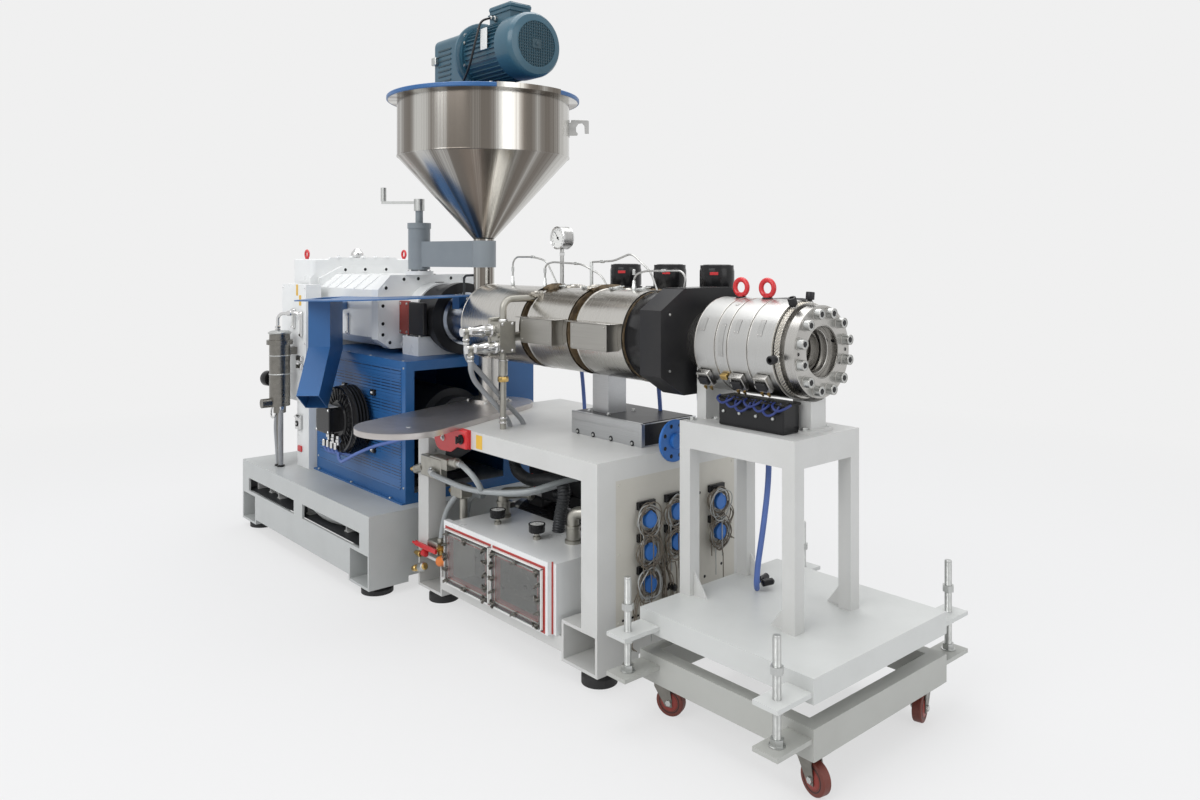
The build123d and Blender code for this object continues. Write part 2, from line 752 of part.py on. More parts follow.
with BuildPart() as die_stand:
    block(stand_x, (-stand_half, stand_half), (stand_top - stand_beam, stand_top))
    block((stand_x[0] + plate, stand_x[1] - plate), (-stand_half + plate, stand_half - plate),
          (stand_top - stand_beam, stand_top - plate), Mode.SUBTRACT)
    for x_range in ((stand_x[0], stand_x[0] + stand_leg), (stand_x[1] - stand_leg, stand_x[1])):
        for y_range in ((-stand_half, -stand_half + stand_leg),
                        (stand_half - stand_leg, stand_half)):
            block(x_range, y_range, (deck_z[1], stand_top - plate / 2))
    for y in (-stand_half + stand_leg / 2, stand_half - stand_leg / 2):
        gusset(stand_x[0] + stand_leg, 1, (y - 4, y + 4))
        gusset(stand_x[1] - stand_leg, -1, (y - 4, y + 4))
    block((stand_x[0], 1250), (-90, 90), (stand_top, axis_z - 60))
    drum((stand_x[0], 1250), adapter_r + seat_gap, Mode.SUBTRACT)
    block((saddle_x - 55, saddle_x + 55), (-55, 75), (stand_top, stand_top + 10))
    block((saddle_x - 37, saddle_x + 37), (-27, 57), (stand_top + 10, axis_z - 120))
    drum((saddle_x - 60, saddle_x + 60), band_r + seat_gap, Mode.SUBTRACT)
write(die_stand, "die_stand")

rod_points = [(x, y) for x in (deck_x[0] + rod_inset, deck_x[1] - rod_inset)
              for y in (-deck_half - rod_reach, deck_half + rod_reach)]


def lugs(top, hole):
    """Plates that stick out sideways round the four threaded rods."""
    for x, y in rod_points:
        block((x - lug_width / 2, x + lug_width / 2),
              (deck_half, deck_half + lug_length) if y > 0 else
              (-deck_half - lug_length, -deck_half), (top - lug_thick, top))
        post(x, y, (top - lug_thick, top), hole, Mode.SUBTRACT)


with BuildPart() as trolley_deck:
    block(deck_x, (-deck_half, deck_half), deck_z)
    block((deck_x[0] + frame_tube, deck_x[1] - frame_tube),
          (-deck_half + frame_tube, deck_half - frame_tube),
          (deck_z[0], deck_z[1] - plate), Mode.SUBTRACT)
    lugs(lug_top, rod_r + rod_play)
    for x, y in rod_points:
        hex_nut(x, y, lug_top - lug_thick - nut_height)
        post(x, y, (lug_top - lug_thick - nut_height, lug_top - lug_thick), rod_r + rod_play,
             Mode.SUBTRACT)
write(trolley_deck, "trolley_deck")

caster_points = [(x, y) for x in (deck_x[1] - caster_inset, deck_x[0] + caster_inset)
                 for y in (-deck_half + caster_inset, deck_half - caster_inset)]
head_top = frame_z[0] - caster_plate
with BuildPart() as trolley_frame:
    block(deck_x, (-deck_half, deck_half), frame_z)
    block((deck_x[0] + frame_tube, deck_x[1] - frame_tube),
          (-deck_half + frame_tube, deck_half - frame_tube), frame_z, Mode.SUBTRACT)
    lugs(low_lug_top, rod_r + seat_gap)
    for x, y in caster_points:
        block((x - 50, x + 50), (y - 40, y + 40), (head_top, frame_z[0]))
write(trolley_frame, "trolley_frame")

with BuildPart() as trolley_rods:
    for x, y in rod_points:
        post(x, y, rod_z, rod_r)
        hex_nut(x, y, low_lug_top)
        hex_nut(x, y, parked_nut_z)
write(trolley_rods, "trolley_rods")

head_floor = head_top - caster_head
for number, (point, turn) in enumerate(zip(caster_points, caster_turns), start=1):
    heading = (cos(radians(turn)), sin(radians(turn)), 0)
    wheel_at = (point[0] + caster_trail * heading[0],
                line_y + point[1] + caster_trail * heading[1], wheel_r)
    middle = Plane(origin=wheel_at, x_dir=heading, z_dir=(heading[1], -heading[0], 0))
    inner = wheel_width / 2 + fork_play
    with BuildPart() as caster_fork:
        post(point[0], point[1], (head_floor - 4, head_top - seat_gap), 30)
        with BuildSketch(middle) as cheek:
            with BuildLine():
                Polyline((-caster_trail - 26, head_floor - wheel_r),
                         (-caster_trail + 30, head_floor - wheel_r), (12, 8), (12, -14),
                         (-12, -14), (-caster_trail - 26, head_floor - wheel_r - 12), close=True)
            make_face()
        extrude(cheek.sketch, amount=inner + fork_thick, both=True)
        with BuildSketch(middle) as hollow:
            with Locations((0, head_floor - wheel_r - 4 - 60)):
                Rectangle(200, 120)
        extrude(hollow.sketch, amount=inner, both=True, mode=Mode.SUBTRACT)
        with BuildSketch(middle) as pin:
            Circle(axle_r)
        extrude(pin.sketch, amount=inner + fork_thick + 5, both=True)
    write(caster_fork, f"caster_fork_{number}")
    with BuildPart() as caster_wheel:
        with BuildSketch(middle) as tread:
            Circle(wheel_r)
        extrude(tread.sketch, amount=wheel_width / 2, both=True)
        fillet(caster_wheel.edges(), 5)
        with BuildSketch(middle) as bore:
            Circle(axle_r + 0.05)
        extrude(bore.sketch, amount=wheel_width, both=True, mode=Mode.SUBTRACT)
    write(caster_wheel, f"caster_wheel_{number}")

# Swing column for the hopper
post_top = sleeve_z[1] - cap_thick - 6
with BuildPart() as swing_post:
    post(column_at[0], column_at[1], (foot_top + seat_gap, post_top), post_r)
    post(column_at[0], column_at[1], (post_top, hub_z[1] - 13), screw_r)
write(swing_post, "swing_post")

arm_span = (hopper_at[0] - column_at[0], hopper_at[1] - column_at[1])
arm_length = sqrt(arm_span[0] ** 2 + arm_span[1] ** 2)
arm_plane = Plane(origin=(column_at[0], line_y + column_at[1], arm_z[0]),
                  x_dir=(arm_span[0], arm_span[1], 0), z_dir=(0, 0, 1))
with BuildPart() as swing_arm:
    with BuildSketch(arm_plane) as beam:
        with Locations((arm_length / 2, 0)):
            Rectangle(arm_length, arm_width)
        with Locations((arm_length, 0)):
            Circle(pipe_r + arm_ring)
    extrude(beam.sketch, amount=arm_z[1] - arm_z[0])
    post(column_at[0], column_at[1], (sleeve_z[0], sleeve_z[1] - collar_height), sleeve_r)
    post(column_at[0], column_at[1], (sleeve_z[1] - collar_height, sleeve_z[1]),
         sleeve_r + collar_out)
    post(column_at[0], column_at[1], (sleeve_z[0], sleeve_z[1] - cap_thick), post_r + 0.1,
         Mode.SUBTRACT)
    post(column_at[0], column_at[1], sleeve_z, screw_r + 0.1, Mode.SUBTRACT)
    post(hopper_at[0], hopper_at[1], arm_z, pipe_r + seat_gap, Mode.SUBTRACT)
write(swing_arm, "swing_arm")

lever_dir = (cos(radians(lever_heading)), sin(radians(lever_heading)), 0)
lever_plane = Plane(origin=(column_at[0], line_y + column_at[1], hub_z[1] - 26),
                    x_dir=lever_dir, z_dir=(0, 0, 1))
with BuildPart() as crank:
    post(column_at[0], column_at[1], hub_z, hub_r)
    with BuildSketch(lever_plane) as bar:
        with Locations((lever_length / 2, 0)):
            SlotOverall(lever_length + lever_bar[0], lever_bar[0])
    extrude(bar.sketch, amount=lever_bar[1])
    post(column_at[0] + lever_dir[0] * lever_length, column_at[1] + lever_dir[1] * lever_length,
         (hub_z[1] - 12, hub_z[1] - 12 + handle[1]), handle[0])
    post(column_at[0], column_at[1], (hub_z[0], hub_z[1] - 12), screw_r + 0.1, Mode.SUBTRACT)
write(crank, "crank")

# Hopper, its lid and the feeder drive on top
wall = pipe_wall
with BuildPart() as hopper_shell:
    turned([(pipe_r - wall, pipe_z[0]), (pipe_r, pipe_z[0]), (pipe_r, pipe_z[1]),
            (shell_r, cone_top), (shell_r, shell_top - rim_thick), (rim_r, shell_top - rim_thick),
            (rim_r, shell_top), (shell_r - wall, shell_top), (shell_r - wall, cone_top + 2),
            (pipe_r - wall, pipe_z[1] + 2)], hopper_at[0], hopper_at[1])
write(hopper_shell, "hopper_shell")

with BuildPart() as hopper_lid:
    post(hopper_at[0], hopper_at[1], (shell_top, shell_top + lid_thick), rim_r)
write(hopper_lid, "hopper_lid")

unit_x = (hopper_at[0] - feeder_block[0], hopper_at[0])
flange_x = (unit_x[1], unit_x[1] + feeder_flange[1])
with BuildPart() as feeder_gear_unit:
    block((unit_x[0] - 20, unit_x[0] - 20 + feeder_foot[0]),
          (-feeder_foot[1] / 2, feeder_foot[1] / 2),
          (feeder_floor, feeder_floor + feeder_foot[2]))
    block((unit_x[0], flange_x[0]), (-feeder_block[1] / 2, feeder_block[1] / 2),
          (feeder_floor + feeder_foot[2], feeder_floor + feeder_height))
    fillet(feeder_gear_unit.edges().filter_by(Axis.X).sort_by(Axis.Z)[-2:], feeder_corner)
    drum(flange_x, feeder_flange[0], centre=(0, feeder_z))
write(feeder_gear_unit, "feeder_gear_unit")

with BuildPart() as feeder_motor:
    drum((flange_x[1], flange_x[1] + feeder_length), feeder_r, centre=(0, feeder_z))
    block((flange_x[1] + 110, flange_x[1] + 110 + feeder_box[0]),
          (-feeder_box[1] / 2, feeder_box[1] / 2), (feeder_z, feeder_z + feeder_r + feeder_box[2]))
write(feeder_motor, "feeder_motor")

# Sloping emptying table on the hopper's swing circle, with its chute
slope = table_slope / 90 * 1.5708 * 0.7071
table_plane = Plane(origin=(table_start[0], line_y + table_start[1], table_seat),
                    x_dir=(1, 0, slope), z_dir=(-slope, -slope, 1))
pour = (cos(radians(duct_turn)), sin(radians(duct_turn)), 0)


def on_table(x, y):
    return (x - table_start[0], y - table_start[1])


with BuildPart() as emptying_table:
    with BuildSketch(table_plane) as outline:
        with BuildLine():
            Polyline(*[on_table(*p) for p in table_points], close=True)
        make_face()
        with Locations(Location((*on_table(duct_at[0] + pour[0] * duct_depth / 2,
                                           duct_at[1] + pour[1] * duct_depth / 2), 0),
                                (0, 0, duct_turn))):
            Rectangle(duct_depth - 2 * duct_wall, duct_width - 2 * duct_wall, mode=Mode.SUBTRACT)
    extrude(outline.sketch, amount=table_thick)
    block(table_leg_x, table_leg_y, (axis_z, table_seat + 2))
    drum(table_leg_x, feed_r + seat_gap, Mode.SUBTRACT)
write(emptying_table, "emptying_table")

duct_plane = Plane(origin=(duct_at[0], line_y + duct_at[1], 0), x_dir=pour,
                   z_dir=(pour[1], -pour[0], 0))
with BuildPart() as emptying_chute:
    with BuildSketch(duct_plane) as outline:
        with BuildLine():
            Polyline(*duct_profile, close=True)
        make_face()
    extrude(outline.sketch, amount=duct_width / 2, both=True)
    with BuildSketch(table_plane) as underside:
        Rectangle(2 * front_reach, 2 * front_reach)
    extrude(underside.sketch, amount=front_reach, mode=Mode.SUBTRACT)
    by_height = emptying_chute.faces().sort_by(Axis.Z)
    offset(amount=-duct_wall, openings=[by_height[0], by_height[-1]], kind=Kind.INTERSECTION)
    with BuildSketch(Plane(origin=(duct_at[0], line_y + duct_at[1], arm_bar_z[0]),
                           x_dir=pour, z_dir=(0, 0, 1))) as bar:
        with Locations((-150, 0)):
            Rectangle(300, 60)
    extrude(bar.sketch, amount=arm_bar_z[1] - arm_bar_z[0])
    block((gear_x[1], gear_front), (-gear_half, 0), arm_bar_z, Mode.SUBTRACT)
write(emptying_chute, "emptying_chute")

# Middle frame with its corner legs, rails and top
with BuildPart() as middle_frame:
    block(mid_x, (-mid_half, mid_half), (mid_top - mid_beam, mid_top - shelf))
    block((mid_x[0] + mid_tube, mid_x[1] - mid_tube), (-mid_half + mid_tube, mid_half - mid_tube),
          (mid_top - mid_beam, mid_top - shelf), Mode.SUBTRACT)
    for x_range in ((mid_x[0], mid_x[0] + mid_post), (mid_x[1] - mid_post, mid_x[1])):
        for y_range in ((-mid_half, -mid_half + mid_post), (mid_half - mid_post, mid_half)):
            block(x_range, y_range, (mid_leg_top, mid_top - mid_beam))
    corner_legs(mid_x, mid_half, mid_floor, mid_leg_top, mid_leg)
    for y_way in (-1, 1):
        block((mid_x[0] + mid_leg, mid_x[1] - mid_leg),
              ordered(y_way * mid_half, y_way * (mid_half - mid_tube)), mid_rail_z)
    for x_range in ((mid_x[0], mid_x[0] + mid_tube), (mid_x[1] - mid_tube, mid_x[1])):
        block(x_range, (-mid_half + mid_leg, mid_half - mid_leg), mid_rail_z)
    block((mid_x[0] + mid_leg, mid_x[1] - mid_leg), (-mid_half + mid_tube, mid_half - mid_tube),
          (mid_rail_z[1] - shelf, mid_rail_z[1]))
    block(mid_x, (-mid_half, mid_half), (mid_top - shelf, mid_top))
write(middle_frame, "middle_frame")

with BuildPart() as socket_panel:
    block((mid_x[1] - shelf, mid_x[1]), (-mid_half + mid_post, mid_half - mid_post),
          (mid_leg_top, mid_top - mid_beam))
write(socket_panel, "socket_panel")

with BuildPart() as sockets:
    for y, z in socket_points:
        drum((mid_x[1], mid_x[1] + 34), socket_r, centre=(y, z))
        block((mid_x[1], mid_x[1] + 12), (y - 44, y + 44), (z + 40, z + 66))
write(sockets, "sockets")

# Vacuum tank with its two windows, and the ball valve beside it
with BuildPart() as vacuum_tank:
    block(tank_x, tank_y, tank_z)
    block((tank_x[0] + shelf, tank_x[1] - shelf), (tank_y[0], tank_y[1] - shelf),
          (tank_z[0] + shelf, tank_z[1] - shelf), Mode.SUBTRACT)
    block((tank_x[0] - window_plate_shift, tank_x[1] - window_plate_shift),
          (tank_y[0] - window_plate, tank_y[0]), (tank_z[0], tank_z[1] + 7))
    for x_range in window_x:
        block((x_range[0] + window_lap, x_range[1] - window_lap),
              (tank_y[0] - window_plate, tank_y[0]),
              (window_z[0] + window_lap, window_z[1] - window_lap), Mode.SUBTRACT)
write(vacuum_tank, "vacuum_tank")

with BuildPart() as window_gaskets:
    for x_range in window_x:
        block(x_range, (pane_back, pane_back + gasket), window_z)
        block((x_range[0] + gasket_width, x_range[1] - gasket_width),
              (pane_back, pane_back + gasket),
              (window_z[0] + gasket_width, window_z[1] - gasket_width), Mode.SUBTRACT)
write(window_gaskets, "window_gaskets")

with BuildPart() as tank_windows:
    for x_range in window_x:
        block(x_range, (pane_back - pane, pane_back), window_z)
write(tank_windows, "tank_windows")

with BuildPart() as ball_valve:
    block((valve_at[0] - valve_block, valve_at[0] + valve_block),
          (valve_at[1] - 18, valve_at[1] + 18),
          (valve_at[2] - valve_block, valve_at[2] + valve_block))
    drum((valve_at[0] + valve_block, tank_x[0]), 11, centre=valve_at[1:])
    drum((valve_at[0] - valve_block - 25, valve_at[0] - valve_block), 14, centre=valve_at[1:])
    spigot(valve_at[0], valve_at[2], (lever_y[1], valve_at[1] - 18), 8)
write(ball_valve, "ball_valve")

with BuildPart() as valve_lever:
    block((valve_at[0] - lever_span, valve_at[0] + 14), lever_y,
          (valve_at[2] - 10, valve_at[2] + 10))
write(valve_lever, "valve_lever")

# Round-ended table top with the support of the feed section, and the front support
with BuildPart() as worktop:
    with BuildSketch(level(mid_top)) as outline:
        with Locations((worktop_near[0], -worktop_reach + worktop_near[1])):
            Circle(worktop_near[1])
        with Locations(worktop_far[:2]):
            Circle(worktop_far[2])
        make_hull()
    extrude(outline.sketch, amount=worktop_thick)
write(worktop, "worktop")

worktop_top = mid_top + worktop_thick
with BuildPart() as rear_support:
    post(rear_at[0], rear_at[1], (worktop_top, worktop_top + 16), 100)
    post(rear_at[0], rear_at[1], (worktop_top + 16, axis_z), rear_post_r)
    drum((rear_at[0] - 120, rear_at[0] + 120), feed_r + seat_gap, Mode.SUBTRACT)
write(rear_support, "rear_support")

with BuildPart() as front_support:
    block(slide_x, slide_y, (mid_top, slide_top))
    block((front_x - 50, front_x + 50), (-50, 50), (slide_top, axis_z - 150))
    drum((front_x - 60, front_x + 60), jacket_r + seat_gap, Mode.SUBTRACT)
write(front_support, "front_support")
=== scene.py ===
import bpy
import numpy as np
from math import pi, cos, sin, radians
from mathutils import Matrix


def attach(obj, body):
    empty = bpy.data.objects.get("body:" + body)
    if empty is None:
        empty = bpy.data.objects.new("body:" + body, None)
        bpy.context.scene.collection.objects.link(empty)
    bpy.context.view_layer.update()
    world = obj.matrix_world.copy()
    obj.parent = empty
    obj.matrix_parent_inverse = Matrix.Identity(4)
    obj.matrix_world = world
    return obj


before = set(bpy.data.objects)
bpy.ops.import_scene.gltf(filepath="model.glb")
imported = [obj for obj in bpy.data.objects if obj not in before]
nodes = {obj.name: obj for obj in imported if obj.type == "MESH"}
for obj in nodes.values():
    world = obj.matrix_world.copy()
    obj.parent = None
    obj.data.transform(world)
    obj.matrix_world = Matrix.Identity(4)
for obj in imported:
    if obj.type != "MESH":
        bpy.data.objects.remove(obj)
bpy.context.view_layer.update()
lineY = 0.113   # the extrusion line's own place in Y
axisZ = 1.262   # height of the screw's axis
upZ = (0, 0, 1)
alongX = (1, 0, 0)    # the way the melt runs
backX = (-1, 0, 0)
nearY = (0, -1, 0)    # to the operator's side
print("frame loaded", len(nodes))


def facingOut(solid):
    # signed volume over a fan of each face; a negative one means inside out
    points, faces = solid
    volume = 0.0
    for size in set(len(f) for f in faces):
        ring = np.array([f for f in faces if len(f) == size])
        corner = points[ring]
        for k in range(1, size - 1):
            volume += np.einsum("ij,ij->i", corner[:, 0], np.cross(corner[:, k], corner[:, k + 1])).sum()
    if volume < 0:
        faces = [f[::-1] for f in faces]
    return points, faces


def gridSolid(rows, capped=True):
    # rows[i][j] is a point: j runs round a closed ring, i from ring to ring, flat caps on both ends
    rows = np.asarray(rows, float)
    count, sides = rows.shape[:2]
    index = np.arange(count * sides).reshape(count, sides)
    after = np.roll(index, -1, axis=1)
    quads = np.stack([index[:-1], after[:-1], after[1:], index[1:]], axis=-1).reshape(-1, 4)
    faces = [tuple(q) for q in quads.tolist()]
    if capped:
        faces.append(tuple(index[0][::-1].tolist()))
        faces.append(tuple(index[-1].tolist()))
    return facingOut((rows.reshape(-1, 3), faces))


def axes(direction):
    # unit vector along the direction and two unit vectors square to it
    w = np.asarray(direction, float)
    w = w / np.linalg.norm(w)
    helper = np.array([0.0, 0.0, 1.0]) if abs(w[2]) < 0.9 else np.array([1.0, 0.0, 0.0])
    u = np.cross(helper, w)
    u = u / np.linalg.norm(u)
    return u, np.cross(w, u), w


def turned(profile, at=(0, 0, 0), along=(0, 0, 1), sides=40, closed=False, start=0.0):
    # point = at + radius * (cos t, sin t) + height * along, for each (radius, height) of the profile
    profile = np.asarray(profile, float)
    if closed:
        profile = np.vstack([profile, profile[:1]])
    u, v, w = axes(along)
    t = start + np.linspace(0, 2 * pi, sides, endpoint=False)
    ring = np.cos(t)[:, None] * u + np.sin(t)[:, None] * v
    rows = np.asarray(at, float) + profile[:, None, :1] * ring[None] + profile[:, None, 1:] * w
    return weld(gridSolid(rows, capped=False)) if closed else gridSolid(rows)


def weld(solid):
    # one point for every group of points in the same place, faces without repeated corners
    points, faces = solid
    key = np.round(points, 6)
    unique, inverse = np.unique(key, axis=0, return_inverse=True)
    inverse = inverse.reshape(-1)
    kept = []
    for f in faces:
        ring = []
        for k in f:
            n = int(inverse[k])
            if not ring or ring[-1] != n:
                ring.append(n)
        if len(ring) > 1 and ring[0] == ring[-1]:
            ring.pop()
        if len(set(ring)) > 2:
            kept.append(tuple(ring))
    return facingOut((unique, kept))


def inset(outline, amount):
    # each corner of a closed outline moved inwards by amount, along its mitre
    p = np.asarray(outline, float)
    before = p - np.roll(p, 1, axis=0)
    after = np.roll(p, -1, axis=0) - p
    before /= np.linalg.norm(before, axis=1)[:, None]
    after /= np.linalg.norm(after, axis=1)[:, None]
    n1 = np.stack([-before[:, 1], before[:, 0]], axis=1)
    n2 = np.stack([-after[:, 1], after[:, 0]], axis=1)
    mitre = n1 + n2
    mitre /= np.maximum((mitre * n1).sum(axis=1), 0.2)[:, None]
    area = (p[:, 0] * np.roll(p[:, 1], -1) - p[:, 1] * np.roll(p[:, 0], -1)).sum()
    return p + mitre * amount * (1 if area > 0 else -1)


def extruded(outline, origin, right, up, depth, bevel=0.0):
    # point = origin + s * right + t * up + d * out, the outline drawn in at both ends by the bevel
    r = np.asarray(right, float)
    r = r / np.linalg.norm(r)
    q = np.asarray(up, float)
    q = q / np.linalg.norm(q)
    out = np.cross(r, q)
    rings = [(0.0, bevel), (bevel, 0.0), (depth - bevel, 0.0), (depth, bevel)] if bevel else [(0.0, 0.0),
        (depth, 0.0)]
    rows = []
    for d, drawn in rings:
        flat = inset(outline, drawn) if drawn else np.asarray(outline, float)
        rows.append(np.asarray(origin, float) + flat[:, :1] * r + flat[:, 1:] * q + d * out)
    return gridSolid(rows)


def arcBar(at, out, inner, outer, start, end, thick, steps=24):
    # a bar bent round the axis from start to end degrees, between two radii, thick along out
    u, v, w = axes(out)
    rows = []
    for turn in np.radians(np.linspace(start, end, steps)):
        ray = cos(turn) * u + sin(turn) * v
        rows.append([np.asarray(at) + r * ray + d * w for r,
            d in ((inner, 0), (outer, 0), (outer, thick), (inner, thick))])
    return gridSolid(rows)


def roundedRect(width, height, radius, steps=3):
    # quarter circles round the four corners of a rectangle about the middle
    turns = np.linspace(0, pi / 2, steps + 1)
    ring = []
    for k, (sx, sy) in enumerate(((1, 1), (-1, 1), (-1, -1), (1, -1))):
        a = turns + k * pi / 2
        cx, cy = sx * (width / 2 - radius), sy * (height / 2 - radius)
        ring.append(np.stack([cx + radius * np.cos(a), cy + radius * np.sin(a)], axis=1))
    return np.vstack(ring)


def slab(low, high, bevel=0.002):
    # a box whose edges are all cut by the bevel
    low, high = np.minimum(low, high), np.maximum(low, high)
    size = high - low
    middle = (low + high) / 2
    b = min(bevel, size.min() * 0.3)
    ring = roundedRect(size[0], size[1], b, 1)
    return extruded(ring, (middle[0], middle[1], low[2]), (1, 0, 0), (0, 1, 0), size[2], b)


def slabs(boxes, bevel=0.002):
    return [slab(np.array(low), np.array(high), bevel) for low, high in boxes]


def pathFrames(path):
    # tangent at each station and a normal carried along without twist
    p = np.asarray(path, float)
    t = np.gradient(p, axis=0)
    t /= np.linalg.norm(t, axis=1)[:, None]
    normal = axes(t[0])[0]
    normals = []
    for k in range(len(p)):
        normal = normal - t[k] * (normal @ t[k])
        normal = normal / np.linalg.norm(normal)
        normals.append(normal)
    n = np.array(normals)
    return p, t, n, np.cross(t, n)


def smoothPath(points, bend=0.03, steps=5):
    # straight runs joined by quarter-like arcs that cut each corner at the bend distance
    p = [np.asarray(q, float) for q in points]
    out = [p[0]]
    for k in range(1, len(p) - 1):
        a, b, c = p[k - 1], p[k], p[k + 1]
        cut = min(bend, 0.48 * np.linalg.norm(a - b), 0.48 * np.linalg.norm(c - b))
        start = b + (a - b) / np.linalg.norm(a - b) * cut
        end = b + (c - b) / np.linalg.norm(c - b) * cut
        for s in np.linspace(0, 1, steps + 1):
            out.append((1 - s) ** 2 * start + 2 * s * (1 - s) * b + s ** 2 * end)
    out.append(p[-1])
    keep = [out[0]]
    for q in out[1:]:
        if np.linalg.norm(q - keep[-1]) > 1e-5:
            keep.append(q)
    return np.array(keep)


def swept(path, radius, sides):
    # a circle carried along the path; the radius is one number, or one for each station
    p, t, n, b = pathFrames(path)
    a = np.linspace(0, 2 * pi, sides, endpoint=False)[None, :, None]
    return gridSolid(p[:, None] + np.reshape(radius, (-1, 1, 1)) * (np.cos(a) * n[:,
        None] + np.sin(a) * b[:, None]))


def tube(points, radius, bend=0.03, sides=12, steps=5):
    # a round rod along the points, each corner cut by a curve that starts at the bend distance
    return swept(smoothPath(points, bend, steps) if bend else np.asarray(points, float), radius, sides)


def ribbed(points, radius, pitch, depth, bend=0.03, sides=12):
    # a tube whose radius swings by the depth along the path, as a corrugated hose does
    p = smoothPath(points, bend, 8)
    run = np.concatenate([[0], np.cumsum(np.linalg.norm(np.diff(p, axis=0), axis=1))])
    s = np.arange(0, run[-1], pitch / 4)
    fine = np.stack([np.interp(s, run, p[:, k]) for k in range(3)], axis=1)
    return swept(fine, radius + depth * np.cos(2 * pi * s / pitch), sides)


def closedTube(p, first, second, radius, sides):
    # at each station of a path that ends where it starts, a circle spanned by the two directions
    a = np.linspace(0, 2 * pi, sides, endpoint=False)[None, :, None]
    rows = p[:, None] + radius * (np.cos(a) * first[:, None] + np.sin(a) * second[:, None])
    rows[-1] = rows[0]
    return weld(gridSolid(rows, capped=False))


def joined(solids):
    # all points in one table, each face's numbers raised by the points before it
    points, faces, base = [], [], 0
    for p, f in solids:
        points.append(p)
        faces.extend(tuple(k + base for k in face) for face in f)
        base += len(p)
    return np.vstack(points), faces


def screwHead(at, out, radius=0.008, height=0.008, kind="hex"):
    # a bolt head with a chamfered rim on a thin washer
    if kind == "hex":
        head = turned([(radius, 0), (radius, height * 0.8), (radius * 0.86, height)], at, out, 6)
        washer = turned([(radius * 1.25, 0), (radius * 1.25, height * 0.18)], at, out, 16)
        return [head, washer]
    rim = [(radius, 0), (radius, height * 0.9), (radius * 0.9, height), (radius * 0.55, height),
        (radius * 0.5, height * 0.45), (0.0001, height * 0.45)]
    return [turned(rim, at, out, 16)]


def makePiece(name, parts, body="machine", smooth=32):
    # parts is a list of (material, solids); the solids are in the line's own frame, moved here to the row's
    points, faces, which, mats = ([] for k in range(4))
    base = 0
    for mat, solids in parts:
        if not solids:
            continue
        p, f = joined(solids)
        points.append(p + np.array([0.0, lineY, 0.0]))
        faces.extend(tuple(k + base for k in face) for face in f)
        if mat not in mats:
            mats.append(mat)
        which.extend([mats.index(mat)] * len(f))
        base += len(p)
    mesh = bpy.data.meshes.new(name)
    mesh.from_pydata(np.vstack(points).tolist(), [], faces)
    for mat in mats:
        mesh.materials.append(mat)
    mesh.polygons.foreach_set("material_index", np.array(which, dtype=np.int32))
    mesh.polygons.foreach_set("use_smooth", np.ones(len(faces), dtype=bool))
    mesh.set_sharp_from_angle(angle=radians(smooth))
    mesh.update()
    piece = bpy.data.objects.new(name, mesh)
    bpy.context.scene.collection.objects.link(piece)
    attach(piece, body)
    return piece


def addNode(tree, kind, values=None, **settings):
    # a node with its settings made first, then the plain values of its sockets
    node = tree.nodes.new("ShaderNode" + kind)
    for key, setting in settings.items():
        setattr(node, key, setting)
    for key, value in (values or {}).items():
        node.inputs[key].default_value = value
    return node


def wireUp(tree, runs):
    # each run is a node, its output, the next node and its input
    for source, output, target, entry in runs:
        tree.links.new(source.outputs[output], target.inputs[entry])


def groupShell(name, inputs):
    # four numbers make a colour socket, three a vector, one a float; the three outputs are the same for all
    group = bpy.data.node_groups.new(name, "ShaderNodeTree")
    for label, value in inputs.items():
        kind = "Float" if isinstance(value, float) else {4: "Color", 3: "Vector"}[len(value)]
        socket = group.interface.new_socket(name=label, in_out="INPUT", socket_type="NodeSocket" + kind)
        socket.default_value = value
    for label, kind in (("Color", "Color"), ("Roughness", "Float"), ("Height", "Float")):
        group.interface.new_socket(name=label, in_out="OUTPUT", socket_type="NodeSocket" + kind)
    ins = group.nodes.new("NodeGroupInput")
    outs = group.nodes.new("NodeGroupOutput")
    return group, ins, outs


def makeSkinGroup():
    # paint: fine orange peel for the height, slow clouds for the tint and the roughness
    group, ins, outs = groupShell("paintSkin", {"Color": (0.8, 0.8, 0.8, 1), "Tint": (0.7, 0.7, 0.68, 1),
        "Amount": 0.25, "Peel Scale": 260.0, "Cloud Scale": 5.0, "Rough Low": 0.3, "Rough High": 0.45})
    coords = addNode(group, "TexCoord")
    peel = addNode(group, "TexNoise", {"Detail": 2})
    cloud = addNode(group, "TexNoise", {"Detail": 5, "Roughness": 0.6})
    spread = addNode(group, "MapRange", {"From Min": 0.42, "From Max": 0.68})
    amount = addNode(group, "Math", operation="MULTIPLY")
    mix = addNode(group, "Mix", data_type="RGBA")
    rough = addNode(group, "MapRange")
    wireUp(group, [(coords, "Object", peel, "Vector"), (coords, "Object", cloud, "Vector"),
        (ins, "Peel Scale", peel, "Scale"), (ins, "Cloud Scale", cloud, "Scale"),
        (cloud, "Fac", spread, "Value"), (spread, "Result", amount, 0), (ins, "Amount", amount, 1),
        (amount, "Value", mix, "Factor"), (ins, "Color", mix, "A"), (ins, "Tint", mix, "B"),
        (mix, "Result", outs, "Color"), (cloud, "Fac", rough, "Value"), (ins, "Rough Low", rough, "To Min"),
        (ins, "Rough High", rough, "To Max"), (rough, "Result", outs, "Roughness"),
        (peel, "Fac", outs, "Height")])
    return group


